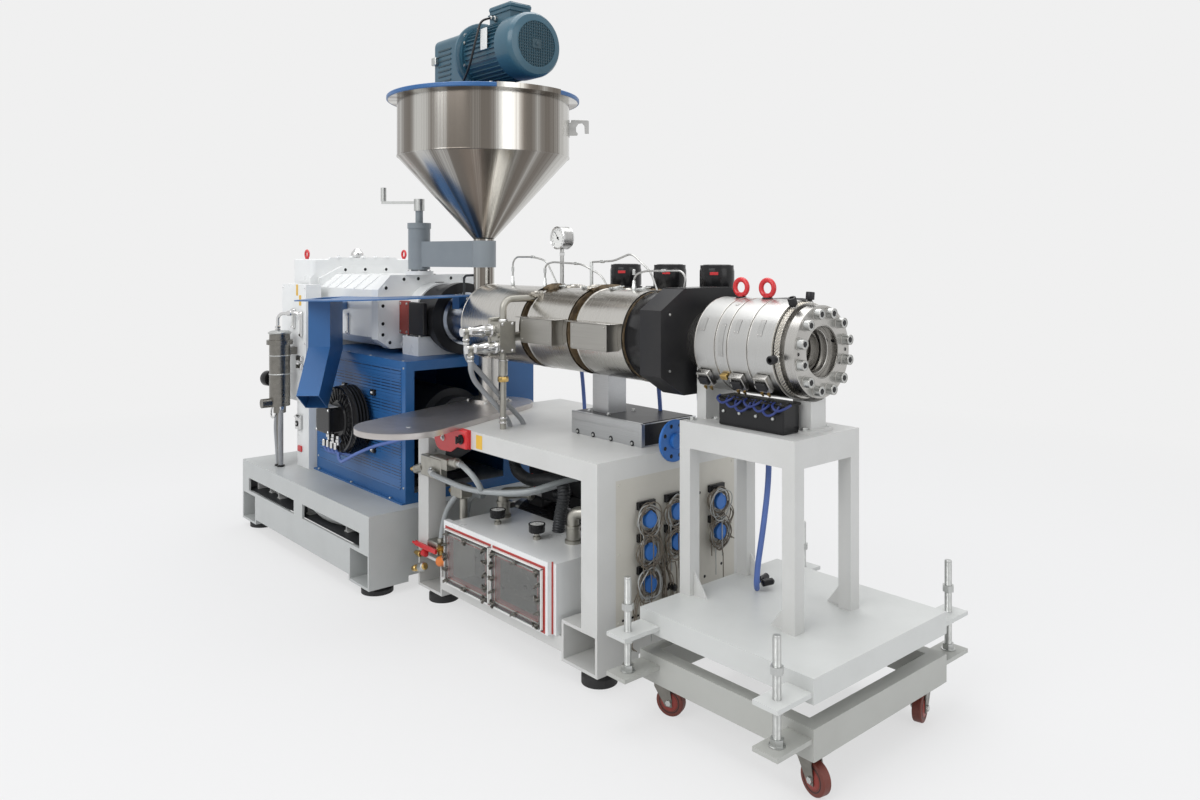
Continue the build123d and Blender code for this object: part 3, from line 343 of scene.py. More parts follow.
def makePaintedReflectionGroup():
    # painted reflections on turned sheet: noise read on a circle, so only the bearing round the axis changes
    # it
    group, ins, outs = groupShell("paintedReflectionBands", {"Color": (0.6, 0.6, 0.6, 1), "Dark": (0.2, 0.2, 0.2, 1),
        "Centre": (0, 0, 0), "Bands": 2.2, "Rough Low": 0.14, "Rough High": 0.26})
    coords = addNode(group, "TexCoord")
    away = addNode(group, "VectorMath", operation="SUBTRACT")
    flat = addNode(group, "VectorMath", {1: (1, 1, 0)}, operation="MULTIPLY")
    unit = addNode(group, "VectorMath", operation="NORMALIZE")
    wide = addNode(group, "TexNoise", {"Detail": 1.5})
    fine = addNode(group, "TexNoise", {"Scale": 60.0, "Detail": 2})
    both = addNode(group, "Mix", {"Factor": 0.14}, data_type="FLOAT")
    spread = addNode(group, "MapRange", {"From Min": 0.4, "From Max": 0.6}, interpolation_type="SMOOTHSTEP")
    mix = addNode(group, "Mix", data_type="RGBA")
    rough = addNode(group, "MapRange")
    wireUp(group, [(coords, "Object", away, 0), (ins, "Centre", away, 1), (away, "Vector", flat, 0),
        (flat, "Vector", unit, 0), (unit, "Vector", wide, "Vector"), (unit, "Vector", fine, "Vector"),
        (ins, "Bands", wide, "Scale"), (wide, "Fac", both, "A"), (fine, "Fac", both, "B"),
        (both, "Result", spread, "Value"), (spread, "Result", mix, "Factor"), (ins, "Color", mix, "A"),
        (ins, "Dark", mix, "B"), (mix, "Result", outs, "Color"), (fine, "Fac", rough, "Value"),
        (ins, "Rough Low", rough, "To Min"), (ins, "Rough High", rough, "To Max"),
        (rough, "Result", outs, "Roughness"), (fine, "Fac", outs, "Height")])
    return group


def makeBrushGroup():
    # brushed metal: streaks of noise squeezed along the brushing, over a slow cloud
    group, ins, outs = groupShell("brushedLines", {"Color": (0.6, 0.6, 0.6, 1), "Dark": (0.4, 0.4, 0.4, 1),
        "Stretch": (300, 3, 3), "Streaks": 0.35, "Rough Low": 0.22, "Rough High": 0.4})
    coords = addNode(group, "TexCoord")
    scaled = addNode(group, "VectorMath", operation="MULTIPLY")
    lines = addNode(group, "TexNoise", {"Scale": 1.0, "Detail": 3})
    cloud = addNode(group, "TexNoise", {"Scale": 7.0, "Detail": 4})
    both = addNode(group, "Mix", {"Factor": 0.35}, data_type="FLOAT")
    spread = addNode(group, "MapRange", {"From Min": 0.35, "From Max": 0.65})
    amount = addNode(group, "Math", operation="MULTIPLY")
    mix = addNode(group, "Mix", data_type="RGBA")
    rough = addNode(group, "MapRange", {"From Min": 0.35, "From Max": 0.65})
    wireUp(group, [(coords, "Object", scaled, 0), (ins, "Stretch", scaled, 1),
        (scaled, "Vector", lines, "Vector"), (coords, "Object", cloud, "Vector"), (lines, "Fac", both, "A"),
        (cloud, "Fac", both, "B"), (both, "Result", spread, "Value"), (spread, "Result", amount, 0),
        (ins, "Streaks", amount, 1), (amount, "Value", mix, "Factor"), (ins, "Color", mix, "A"),
        (ins, "Dark", mix, "B"), (mix, "Result", outs, "Color"), (both, "Result", rough, "Value"),
        (ins, "Rough Low", rough, "To Min"), (ins, "Rough High", rough, "To Max"),
        (rough, "Result", outs, "Roughness"), (lines, "Fac", outs, "Height")])
    return group


skinGroup = makeSkinGroup()
paintedReflectionGroup = makePaintedReflectionGroup()
brushGroup = makeBrushGroup()


def plainShader(name, values):
    # values that are the same all over go straight to the shader's own sockets
    mat = bpy.data.materials.new(name)
    mat.use_nodes = True
    shader = mat.node_tree.nodes["Principled BSDF"]
    for key, value in values.items():
        shader.inputs[key].default_value = value
    return mat, shader


def dressed(name, group, values, rough, bump, distance, shaderValues):
    # the group gives colour, roughness and height to the shader
    mat, shader = plainShader(name, shaderValues)
    tree = mat.node_tree
    skin = addNode(tree, "Group", {**values, "Rough Low": rough[0], "Rough High": rough[1]},
        node_tree=group)
    relief = addNode(tree, "Bump", {"Strength": bump, "Distance": distance})
    wireUp(tree, [(skin, "Color", shader, "Base Color"), (skin, "Roughness", shader, "Roughness"),
        (skin, "Height", relief, "Height"), (relief, "Normal", shader, "Normal")])
    return mat


def paint(name, color, tint, amount=0.35, rough=(0.32, 0.48), peel=260.0, cloud=5.0, bump=0.12, coat=0.0,
        distance=0.0006, specular=None):
    # the tint shows where the clouds are dense
    own = {"Metallic": 0.0}
    if specular is not None:
        own["Specular IOR Level"] = specular
    if coat:
        own["Coat Weight"] = coat
        own["Coat Roughness"] = 0.1
    values = {"Color": (*color, 1), "Tint": (*tint, 1), "Amount": amount, "Peel Scale": peel,
        "Cloud Scale": cloud}
    return dressed(name, skinGroup, values, rough, bump, distance, own)


def steel(name, color, dark, stretch, streaks=0.45, rough=(0.22, 0.4), bump=0.1):
    # the dark tone shows in the streaks; stretch is the noise's scale along X, Y and Z
    values = {"Color": (*color, 1), "Dark": (*dark, 1), "Stretch": stretch, "Streaks": streaks}
    return dressed(name, brushGroup, values, rough, bump, 0.0004, {"Metallic": 1.0})


framePaint = paint("framePaint", (0.6, 0.6, 0.58), (0.53, 0.53, 0.505))
basePaint = paint("basePaint", (0.48, 0.495, 0.485), (0.42, 0.43, 0.42))
stonePaint = paint("stonePaint", (0.43, 0.435, 0.405), (0.37, 0.37, 0.34))
deckPaint = paint("deckPaint", (0.6, 0.61, 0.59), (0.52, 0.53, 0.51))
whitePaint = paint("whitePaint", (0.8, 0.81, 0.8), (0.7, 0.715, 0.71), amount=0.3, rough=(0.22, 0.36),
    coat=0.25)
bluePaint = paint("bluePaint", (0.021, 0.108, 0.29), (0.016, 0.082, 0.23), amount=0.4, rough=(0.3, 0.45))
# painted shade: the dark blue of the strips in the louvres' slots
blueShade = paint("blueShade", (0.008, 0.022, 0.06), (0.012, 0.035, 0.09), amount=0.5)
greyPaint = paint("greyPaint", (0.235, 0.265, 0.285), (0.18, 0.21, 0.23), amount=0.4)
blackPaint = paint("blackPaint", (0.014, 0.014, 0.016), (0.028, 0.027, 0.026), amount=0.4,
    rough=(0.3, 0.45), specular=0.3)
darkGrey = paint("darkGrey", (0.04, 0.043, 0.047), (0.065, 0.065, 0.065), amount=0.5, specular=0.35)
tealPaint = paint("tealPaint", (0.03, 0.1, 0.145), (0.02, 0.07, 0.1), amount=0.5, rough=(0.28, 0.42),
    coat=0.2)
redPaint = paint("redPaint", (0.62, 0.02, 0.025), (0.45, 0.015, 0.02), amount=0.4, rough=(0.25, 0.4),
    coat=0.2)
darkRed = paint("darkRed", (0.26, 0.03, 0.02), (0.15, 0.02, 0.015), amount=0.5)
beigePaint = paint("beigePaint", (0.56, 0.54, 0.48), (0.48, 0.46, 0.41), amount=0.4)
glossBlack = paint("glossBlack", (0.01, 0.01, 0.011), (0.018, 0.018, 0.018), amount=0.3, rough=(0.16, 0.28),
    specular=0.3)
tealDark = paint("tealDark", (0.022, 0.06, 0.08), (0.015, 0.04, 0.055), amount=0.4)
wornWool = paint("wornWool", (0.16, 0.115, 0.065), (0.05, 0.036, 0.022), amount=0.9, rough=(0.7, 0.9),
    peel=120.0, cloud=22.0, bump=0.8, distance=0.004)
blueCable = paint("blueCable", (0.014, 0.032, 0.17), (0.01, 0.022, 0.11), amount=0.4, rough=(0.35, 0.5))
blueHose = paint("blueHose", (0.085, 0.15, 0.4), (0.05, 0.09, 0.27), amount=0.4, rough=(0.35, 0.5))
clearHose = paint("clearHose", (0.36, 0.385, 0.39), (0.27, 0.29, 0.295), amount=0.5, rough=(0.2, 0.35),
    coat=0.3)
leadBrown = paint("leadBrown", (0.155, 0.13, 0.1), (0.1, 0.085, 0.065), amount=0.5, rough=(0.4, 0.55))
paneEdge = paint("paneEdge", (0.8, 0.8, 0.77), (0.72, 0.72, 0.69), amount=0.3, rough=(0.15, 0.3))
rubber = paint("rubber", (0.012, 0.012, 0.013), (0.03, 0.029, 0.028), amount=0.5, rough=(0.55, 0.75),
    peel=400.0)
redRubber = paint("redRubber", (0.45, 0.05, 0.04), (0.34, 0.05, 0.04), amount=0.5, rough=(0.45, 0.6))
wheelPlastic = paint("wheelPlastic", (0.15, 0.03, 0.018), (0.08, 0.018, 0.012), amount=0.6,
    rough=(0.4, 0.6))
bluePlastic = paint("bluePlastic", (0.03, 0.16, 0.5), (0.02, 0.11, 0.38), amount=0.4, rough=(0.3, 0.45))
greyHose = paint("greyHose", (0.3, 0.31, 0.32), (0.22, 0.23, 0.24), amount=0.5, rough=(0.4, 0.55))
cableGrey = paint("cableGrey", (0.36, 0.37, 0.36), (0.27, 0.28, 0.27), amount=0.4, rough=(0.4, 0.55))
yellowPaint = paint("yellowPaint", (0.75, 0.45, 0.04), (0.6, 0.36, 0.04), amount=0.3)
orangePlastic = paint("orangePlastic", (0.72, 0.2, 0.03), (0.55, 0.15, 0.03), amount=0.3)
dialWhite = paint("dialWhite", (0.78, 0.78, 0.75), (0.7, 0.7, 0.66), amount=0.3)
stainless = steel("stainless", (0.59, 0.575, 0.545), (0.44, 0.425, 0.395), (420, 5, 5), 0.35, (0.2, 0.3),
    0.03)
bandSteel = steel("bandSteel", (0.53, 0.53, 0.52), (0.43, 0.43, 0.42), (420, 5, 5), 0.25, (0.26, 0.36),
    0.03)
boxSteel = steel("boxSteel", (0.4, 0.39, 0.365), (0.33, 0.32, 0.3), (5, 5, 300), 0.3, (0.34, 0.44), 0.03)
feedSteel = steel("feedSteel", (0.5, 0.53, 0.58), (0.4, 0.43, 0.48), (300, 5, 5), 0.25, (0.16, 0.26), 0.03)
darkSteel = steel("darkSteel", (0.24, 0.23, 0.21), (0.14, 0.135, 0.12), (40, 40, 40), 0.5, (0.25, 0.38))
# painted reflection: the hopper's colour swings to the dark tone in tall bands round its axis
hopperSteel = dressed("hopperSteel", paintedReflectionGroup, {"Color": (0.56, 0.55, 0.52, 1),
    "Dark": (0.17, 0.15, 0.13, 1), "Centre": (-0.325, lineY, 0), "Bands": 3.4}, (0.14, 0.26), 0.03, 0.0004,
    {"Metallic": 1.0})
bronzeSteel = steel("bronzeSteel", (0.4, 0.3, 0.16), (0.24, 0.17, 0.08), (200, 6, 6), 0.6, (0.3, 0.5))
machinedSteel = steel("machinedSteel", (0.52, 0.51, 0.49), (0.38, 0.37, 0.35), (500, 12, 12), 0.5,
    (0.2, 0.34))
plainSteel = steel("plainSteel", (0.5, 0.5, 0.49), (0.36, 0.36, 0.35), (40, 40, 40), 0.5, (0.25, 0.42))
pipeSteel = steel("pipeSteel", (0.42, 0.41, 0.37), (0.3, 0.29, 0.26), (30, 30, 30), 0.5, (0.32, 0.48))
chromeSteel = steel("chromeSteel", (0.7, 0.7, 0.7), (0.55, 0.55, 0.54), (20, 20, 20), 0.4, (0.1, 0.22),
    0.04)
braidSteel = steel("braidSteel", (0.56, 0.53, 0.47), (0.36, 0.33, 0.28), (90, 90, 90), 0.6, (0.28, 0.42))
foilSheet = steel("foilSheet", (0.6, 0.58, 0.54), (0.3, 0.27, 0.22), (25, 25, 25), 0.7, (0.2, 0.45), 0.5)
zincSteel = steel("zincSteel", (0.56, 0.57, 0.56), (0.42, 0.43, 0.42), (60, 60, 60), 0.5, (0.28, 0.42))
aluminium = steel("aluminium", (0.55, 0.56, 0.57), (0.44, 0.45, 0.46), (8, 300, 300), 0.4, (0.3, 0.42))
brass = steel("brass", (0.6, 0.42, 0.16), (0.42, 0.28, 0.09), (60, 60, 60), 0.5, (0.24, 0.38))
wornPlate = steel("wornPlate", (0.62, 0.59, 0.575), (0.4, 0.37, 0.355), (5, 7, 30), 0.7, (0.32, 0.4), 0.01)
pane = plainShader("pane", {"Base Color": (0.72, 0.73, 0.705, 1), "Roughness": 0.05,
    "Transmission Weight": 0.92, "IOR": 1.45})[0]

finishes = ((basePaint, "drive_base_walls drive_base_top"), (rubber, "levelling_pads"),
    (darkGrey, "main_motor"), (bluePaint, "motor_enclosure hopper_lid emptying_table emptying_chute"),
    (hopperSteel, "hopper_shell"),
    (blackPaint, "enclosure_blower coupling_drum barrel_end_housing cooling_blowers"),
    (framePaint, "gearbox_stand die_stand middle_frame"), (deckPaint, "trolley_deck"),
    (whitePaint, "gearbox_rear_casing gearbox_main_casing coupling_guard coupling_foot oil_cabinet"),
    (whitePaint, "vacuum_tank"),
    (darkSteel, "oil_filter caster_fork_1 caster_fork_2 caster_fork_3 caster_fork_4"),
    (wheelPlastic, "caster_wheel_1 caster_wheel_2 caster_wheel_3 caster_wheel_4"),
    (feedSteel, "feed_section"), (bronzeSteel, "barrel_core"), (stainless, "barrel_shrouds"),
    (boxSteel, "terminal_boxes"), (pipeSteel, "oil_manifold"), (greyHose, "manifold_hoses"),
    (plainSteel, "pressure_gauge"), (machinedSteel, "die_head outlet_flange rear_support"),
    (bandSteel, "die_heater_bands"), (zincSteel, "flange_bolts trolley_rods crank"),
    (redPaint, "lifting_eyes valve_lever"), (stonePaint, "trolley_frame"),
    (greyPaint, "swing_post swing_arm"), (tealPaint, "feeder_gear_unit feeder_motor"),
    (beigePaint, "socket_panel"), (bluePlastic, "sockets"), (redRubber, "window_gaskets"),
    (pane, "tank_windows"), (brass, "ball_valve"), (wornPlate, "worktop"), (aluminium, "front_support"))
for finish, names in finishes:
    for name in names.split():
        nodes[name].data.materials.clear()
        nodes[name].data.materials.append(finish)
print("materials set")

# Small shapes and places used by many pieces
lowDome = [(0.005, 0), (0.0044, 0.002), (0.002, 0.003)]   # profile of a small domed screw
highDome = [(0.005, 0), (0.0045, 0.0025), (0.002, 0.0035)]


def badge(at, out, up, width, height, thick=0.002, radius=0.003):
    # a rounded plate lying on a face, its outline about the middle, the thickness along out
    right = np.cross(np.asarray(up, float), np.asarray(out, float))
    return extruded(roundedRect(width, height, min(radius, width * 0.49, height * 0.49)), at, right, up,
        thick, thick * 0.3)


def ring(at, out, inner, outer, thick, sides=32):
    # a flat ring with a small rounded outer edge
    b = thick * 0.3
    return turned([(inner, 0), (outer, 0), (outer, thick - b), (outer - b, thick), (inner, thick)], at, out,
        sides, closed=True)


def disc(at, out, radius, thick, sides=28):
    # a flat disc whose front edge is cut at 45 degrees
    b = thick * 0.35
    return turned([(radius, 0), (radius, thick - b), (radius - b, thick)], at, out, sides)


def stub(radius, height, tip, top):
    # profile of a pin: straight up to the height, then in to the tip's radius
    return [(radius, 0), (radius, height), (tip, top)]


def collar(foot, radius, low, high, tip, top):
    # profile of a collar: out from the foot, straight from low to high, in to the tip
    return [(foot, 0), (radius, low), (radius, high), (tip, top)]


def strip(low, high, half, tip=None):
    # an upright outline of four corners, half wide at its foot and the tip's half at its top
    tip = half if tip is None else tip
    return [(-half, low), (half, low), (tip, high), (-tip, high)]


def turnsOf(count, shift=0.5):
    # equal turns round a circle, the first one moved on by a share of the step
    return [2 * pi * (k + shift) / count for k in range(count)]


def roundAxis(x, radius, turn):
    # a place round the screw's axis
    return (x, radius * cos(turn), axisZ + radius * sin(turn))


def both(points):
    # the same places on both sides of the line
    return [(y, z) for y, z in points] + [(-y, z) for y, z in points if abs(y) > 0.02]


# Gearbox: spot faces and bolt heads of both joints, bosses, breather, plugs, level gauges and a plate
gearTrim = {"jointX": -1.6, "jointBolts": ((-0.134, 1.502), (-0.006, 1.503), (-0.25, 1.419), (-0.268, 1.31),
    (-0.268, 1.2)), "bandX": -0.8, "bandBolts": ((-0.186, 1.461), (-0.101, 1.463), (-0.29, 1.417),
    (-0.308, 1.324), (-0.308, 1.232), (-0.308, 1.175), (-0.268, 1.132), (-0.186, 1.118)),
    "spot": (0.0095, 0.0165, 0.003), "bossX": -1.638, "bossZ": 1.5745,
    "bossY": (-0.16, -0.08, 0.0, 0.08, 0.16), "breather": (-1.718, 0.0, 1.566),
    "column": (-0.79, -0.1, 1.504), "columnRing": 0.0662,
    "plugs": ((-0.835, 0.0, 1.484), (-0.748, 0.0, 1.442)),
    "gauges": ((-1.234, -0.288, 1.208, 0.034, 0.12), (-1.645, -0.429, 1.222, 0.04, 0.122)),
    "plate": (-1.603, -0.429, 1.388, 0.026, 0.065)}

spots, darks, chrome, whites, yellows = ([] for k in range(5))
for x, points in ((gearTrim["jointX"], both(gearTrim["jointBolts"])),
        (gearTrim["bandX"], both(gearTrim["bandBolts"]))):
    for y, z in points:
        spots.append(ring((x, y, z), alongX, *gearTrim["spot"]))
        darks.append(disc((x, y, z), alongX, 0.0094, 0.0016))
for y in gearTrim["bossY"]:
    spots.append(turned([(0.016, 0), (0.013, 0.007), (0.009, 0.009), (0.009, 0.012)],
        (gearTrim["bossX"], y, gearTrim["bossZ"]), upZ, 20))
cap = [(0.02, 0.01), (0.034, 0.012), (0.038, 0.02), (0.0385, 0.03), (0.034, 0.042), (0.024, 0.052),
    (0.019, 0.06), (0.017, 0.0625)]
chrome.append(turned(cap, gearTrim["breather"], upZ, 36))
chrome.append(ring(gearTrim["breather"], upZ, 0.018, 0.029, 0.008))
bx, by, bz = gearTrim["breather"]
chrome.append(turned([(0.006, 0), (0.006, 0.016), (0.009, 0.019), (0.009, 0.026), (0.005, 0.029)],
    (bx + 0.03, by, bz + 0.032), (1, 0, 0.1), 14))
cx, cy, cz = gearTrim["column"]
r = gearTrim["columnRing"]
for turn in turnsOf(6):
    chrome += screwHead((cx + r * cos(turn), cy + r * sin(turn), cz), upZ, 0.0046, 0.004)
for place in gearTrim["plugs"]:
    darks.append(disc(place, upZ, 0.024, 0.003))
for x, y, z, width, height in gearTrim["gauges"]:
    chrome.append(badge((x, y, z), nearY, upZ, width, height, 0.01, width * 0.3))
    for way in (-0.4, 0.4):
        chrome.append(badge((x, y - 0.01, z + way * height), nearY, upZ, width * 0.8, height * 0.12, 0.006,
            0.004))
    whites.append(badge((x, y - 0.01, z), nearY, upZ, width * 0.5, height * 0.66, 0.003, 0.006))
px, py, pz, width, height = gearTrim["plate"]
yellows.append(badge((px, py, pz), nearY, upZ, width, height, 0.0012, 0.003))
makePiece("gearboxTrim", [(whitePaint, spots), (blackPaint, darks), (chromeSteel, chrome),
    (dialWhite, whites), (yellowPaint, yellows)])

# Coupling side under the table: red cover plate, black duct behind it, bolts of the foot, guard and drum;
# a ring of bolts is given by its X and radius
couplingTrim = {"redLow": (-0.8, -0.214, 1.176), "redHigh": (-0.703, -0.196, 1.35),
    "blackLow": (-0.701, -0.214, 1.18), "blackHigh": (-0.552, -0.19, 1.346), "guardRing": (-0.56, 0.15),
    "drumRing": (-0.4898, 0.105), "screwX": (-0.785, -0.718), "screwZ": (1.19, 1.336),
    "footX": (-0.745, -0.615), "footY": (-0.195, 0.195), "footTop": 1.17}
reds = slabs([(couplingTrim["redLow"], couplingTrim["redHigh"])], 0.004)
blacks = slabs([(couplingTrim["blackLow"], couplingTrim["blackHigh"])], 0.004)
heads = []
for x in couplingTrim["screwX"]:
    for z in couplingTrim["screwZ"]:
        heads += screwHead((x, couplingTrim["redLow"][1], z), nearY, 0.006, 0.005)
for x in couplingTrim["footX"]:
    for y in couplingTrim["footY"]:
        heads += screwHead((x, y, couplingTrim["footTop"]), upZ, 0.009, 0.008)
for turn in turnsOf(12, 0):
    heads += screwHead(roundAxis(*couplingTrim["guardRing"], turn), alongX, 0.01, 0.009)
for turn in turnsOf(8):
    heads += screwHead(roundAxis(*couplingTrim["drumRing"], turn), backX, 0.009, 0.008)
makePiece("couplingTrim", [(darkRed, reds), (blackPaint, blacks), (zincSteel, heads)])
print("gearbox trim built")

# Barrel: beaded sheet edges, insulation in the open ends, lid strips over the boxes, latches on top
barrelTrim = {"radius": 0.182, "spans": ((-0.252, 0.225), (0.275, 0.557), (0.613, 0.894)), "bead": 0.0022,
    "beadWidth": 0.007, "boxes": ((0.316, 0.526), (0.656, 0.869)), "boxFront": -0.238, "boxTop": 1.318,
    "boxFloor": 1.211, "strips": ((0.275, 0.557), (0.613, 0.894)), "latches": (0.33, 0.49, 0.67, 0.83)}
beads, wool, foil, boxBits, latchBits = ([] for k in range(5))
for start, end in barrelTrim["spans"]:
    r, b, w = barrelTrim["radius"], barrelTrim["bead"], barrelTrim["beadWidth"]
    for x, way in ((start, 1), (end, -1)):
        beads.append(turned([(r - 0.003, 0), (r + b, 0), (r + b, w * 0.7), (r, w), (r - 0.003, w)],
            (x, 0, axisZ), (way, 0, 0), 72, closed=True))
        rough = r - 0.006 + 0.002 * np.sin(np.arange(60) * 2.399)
        inner = 0.148
        turns = np.linspace(0, 2 * pi, 60, endpoint=False)
        rows = []
        for radius, out in ((inner, 0.0005), (inner + 0.004, 0.003), (rough, 0.003),
                (rough + 0.001, 0.0005)):
            rows.append(np.stack([np.full(60, x - way * out), radius * np.cos(turns),
                axisZ + radius * np.sin(turns)], axis=1))
        wool.append(gridSolid(rows + rows[:1], capped=False))
seam = barrelTrim["radius"] + 0.001
for start, end in barrelTrim["spans"]:
    for angle in (radians(100), radians(262)):
        y, z = seam * cos(angle), axisZ + seam * sin(angle)
        beads.append(extruded(roundedRect(end - start - 0.016, 0.022, 0.004),
            ((start + end) / 2, y * 0.995, axisZ + (z - axisZ) * 0.995), alongX,
            (0, -sin(angle), cos(angle)), 0.0022, 0.0006))
front, lidTop, lidFloor = barrelTrim["boxFront"], barrelTrim["boxTop"], barrelTrim["boxFloor"]
for start, end in barrelTrim["strips"]:
    beads += slabs([((start + 0.002, front - 0.004, lidTop), (end - 0.002, -0.172, lidTop + 0.0025))],
        0.0008)
for start, end in barrelTrim["boxes"]:
    boxBits += slabs([((start - 0.003, front - 0.003, lidFloor + 0.004),
        (end + 0.003, front + 0.0005, lidTop - 0.002))], 0.0012)
    for x in (start + 0.012, end - 0.012):
        for z in (lidFloor + 0.016, lidTop - 0.014):
            boxBits.append(turned([(0.004, 0), (0.0036, 0.002), (0.002, 0.003)], (x, front - 0.003, z),
                nearY, 12))


def crumple(at, size, seed):
    # a squashed ball whose radius swings with three sine waves: tied-off insulation over a sheet joint
    u = np.linspace(0, pi, 14)[:, None]
    v = np.linspace(0, 2 * pi, 22, endpoint=False)[None, :]
    r = 1 + 0.16 * np.sin(5 * v + 3 * u + seed) + 0.12 * np.sin(9 * v - 5 * u + 2.1 * seed) * np.sin(u)
    s = np.maximum(np.sin(u), 0.02)
    rows = np.stack([at[0] + size[0] * r * s * np.cos(v), at[1] + size[1] * r * s * np.sin(v),
        at[2] + size[2] * r * np.cos(u) + 0 * v], axis=-1)
    return gridSolid(rows)


clumps = ((0.262, -0.1, 0.03, 0.05, 0.015, 0.3), (0.29, -0.02, 0.045, 0.055, 0.018, 1.1),
    (0.362, 0.03, 0.05, 0.05, 0.016, 2.2), (0.462, 0.06, 0.055, 0.045, 0.015, 3.1),
    (0.553, 0.0, 0.032, 0.06, 0.017, 4.0), (0.584, 0.03, 0.026, 0.08, 0.02, 5.2),
    (0.7, 0.05, 0.045, 0.04, 0.012, 6.1), (0.85, 0.05, 0.045, 0.04, 0.013, 7.3))
for x, y, sx, sy, sz, seed in clumps:
    top = axisZ + (barrelTrim["radius"] ** 2 - y ** 2) ** 0.5
    (wool if int(seed) % 2 else foil).append(crumple((x, y, top - 0.002), (sx, sy, sz), seed))
for x in barrelTrim["latches"]:
    top = axisZ + 0.181
    latchBits += slabs([((x - 0.018, -0.034, top), (x + 0.018, 0.034, top + 0.004)),
        ((x - 0.008, -0.04, top + 0.004), (x + 0.008, 0.026, top + 0.01))], 0.001)
    latchBits.append(tube([(x - 0.013, -0.028, top + 0.006), (x - 0.013, 0.03, top + 0.013),
        (x + 0.013, 0.03, top + 0.013), (x + 0.013, -0.028, top + 0.006)], 0.002, 0.006, 8))
makePiece("barrelEdges", [(stainless, beads), (wornWool, wool), (foilSheet, foil), (boxSteel, boxBits),
    (zincSteel, latchBits)])

# Water couplings with their cam arms, the brass ring and the grey sleeve of the upright pipe
couplings = {"ends": ((0.232, 1.262), (0.266, 1.192)), "from": -0.33, "tip": -0.48, "pipe": (0.254, -0.29)}
rootY = couplings["from"]
silver, brassBits, greyBits = [], [], []
for x, z in couplings["ends"]:
    body = [(0.0165, 0), (0.027, 0.001), (0.029, 0.006), (0.029, 0.016), (0.024, 0.021), (0.0225, 0.04),
        (0.026, 0.048), (0.0275, 0.06), (0.024, 0.078), (0.0205, 0.1), (0.0225, 0.106), (0.0225, 0.118),
        (0.0185, 0.124), (0.0165, 0.128)]
    silver.append(turned(body, (x, rootY, z), nearY, 28))
    for way in (-1, 1):
        silver.append(tube([(x + way * 0.026, rootY - 0.06, z), (x + way * 0.031, rootY - 0.04, z + 0.004),
            (x + way * 0.031, rootY - 0.008, z + 0.008)], 0.0035, 0.01, 8))
        silver.append(turned(stub(0.006, 0.007, 0.004, 0.009), (x + way * 0.022, rootY - 0.056, z),
            (way, 0, 0), 12))
    for height, radius in ((0.03, 0.0155), (0.046, 0.0145)):
        silver.append(ring((x, -0.464, z - height - 0.006), upZ, 0.0125, radius, 0.009, 20))
    silver.append(turned(collar(0.0165, 0.0185, 0.002, 0.01, 0.01, 0.013), (x, couplings["tip"] + 0.002, z),
        nearY, 20))
px, py = couplings["pipe"]
brassBits.append(turned([(0.0145, 0), (0.023, 0), (0.024, 0.003), (0.024, 0.019), (0.022, 0.022),
    (0.0145, 0.022)], (px, py, 1.04), upZ, 8, closed=True))
silver.append(turned([(0.0145, 0), (0.022, 0.001), (0.023, 0.004), (0.0145, 0.006)], (px, py, 1.13), upZ,
    24, closed=True))
for z in (0.861, 0.88):
    silver.append(ring((px, py, z), upZ, 0.0142, 0.018, 0.008, 20))
greyBits += slabs([((0.2, -0.334, 1.148), (0.218, -0.25, 1.316))], 0.003)
for y, z in ((-0.318, 1.165), (-0.266, 1.165), (-0.318, 1.3), (-0.266, 1.3)):
    silver += screwHead((0.29, y, z - 0.008 if z > 1.2 else z + 0.012), alongX, 0.006, 0.005)
for z in (1.215, 1.262):
    greyBits.append(turned(stub(0.012, 0.006, 0.006, 0.008), (0.272, -0.33, z - 0.02), nearY, 6))
silver.append(ring((px, py, 1.3), upZ, 0.0152, 0.021, 0.01, 24))
makePiece("waterFittings", [(chromeSteel, silver), (brass, brassBits), (pipeSteel, greyBits)])

# Dial of the pressure gauge
gaugeTrim = {"at": (0.3, 1.664), "ticks": 13, "sweep": 135}
gx, gz = gaugeTrim["at"]
dialBits, rimBits, needleBits = [], [], []
for way in (-1, 1):
    front = (gx, way * 0.022, gz)
    rimBits.append(turned([(0.045, 0), (0.0515, 0), (0.0515, 0.006), (0.048, 0.009), (0.045, 0.006)], front,
        (0, way, 0), 40, closed=True))
    dialBits.append(disc(front, (0, way, 0), 0.0452, 0.002, 40))
needleBits.append(turned(stub(0.005, 0.003, 0.002, 0.004), (gx, -0.024, gz), nearY, 14))
needleBits.append(extruded(strip(-0.012, 0.036, 0.0016, 0.0006), (gx, -0.0245, gz), (0.8, 0, 0.6),
    (-0.6, 0, 0.8), 0.0012))
for turn in np.radians(np.linspace(-gaugeTrim["sweep"], gaugeTrim["sweep"], gaugeTrim["ticks"])):
    out = (sin(turn), 0, cos(turn))
    needleBits.append(extruded(strip(0.033, 0.04, 0.0009), (gx, -0.0242, gz), (cos(turn), 0, -sin(turn)),
        out, 0.0006))
rimBits.append(turned(collar(0.009, 0.014, 0, 0.016, 0.009, 0.018), (gx, 0, axisZ + 0.183), upZ, 6,
    closed=True))
rimBits.append(turned(collar(0.0092, 0.0125, 0, 0.014, 0.0092, 0.016), (gx, 0, 1.585), upZ, 6, closed=True))
makePiece("gaugeDial", [(chromeSteel, rimBits), (dialWhite, dialBits), (blackPaint, needleBits)])

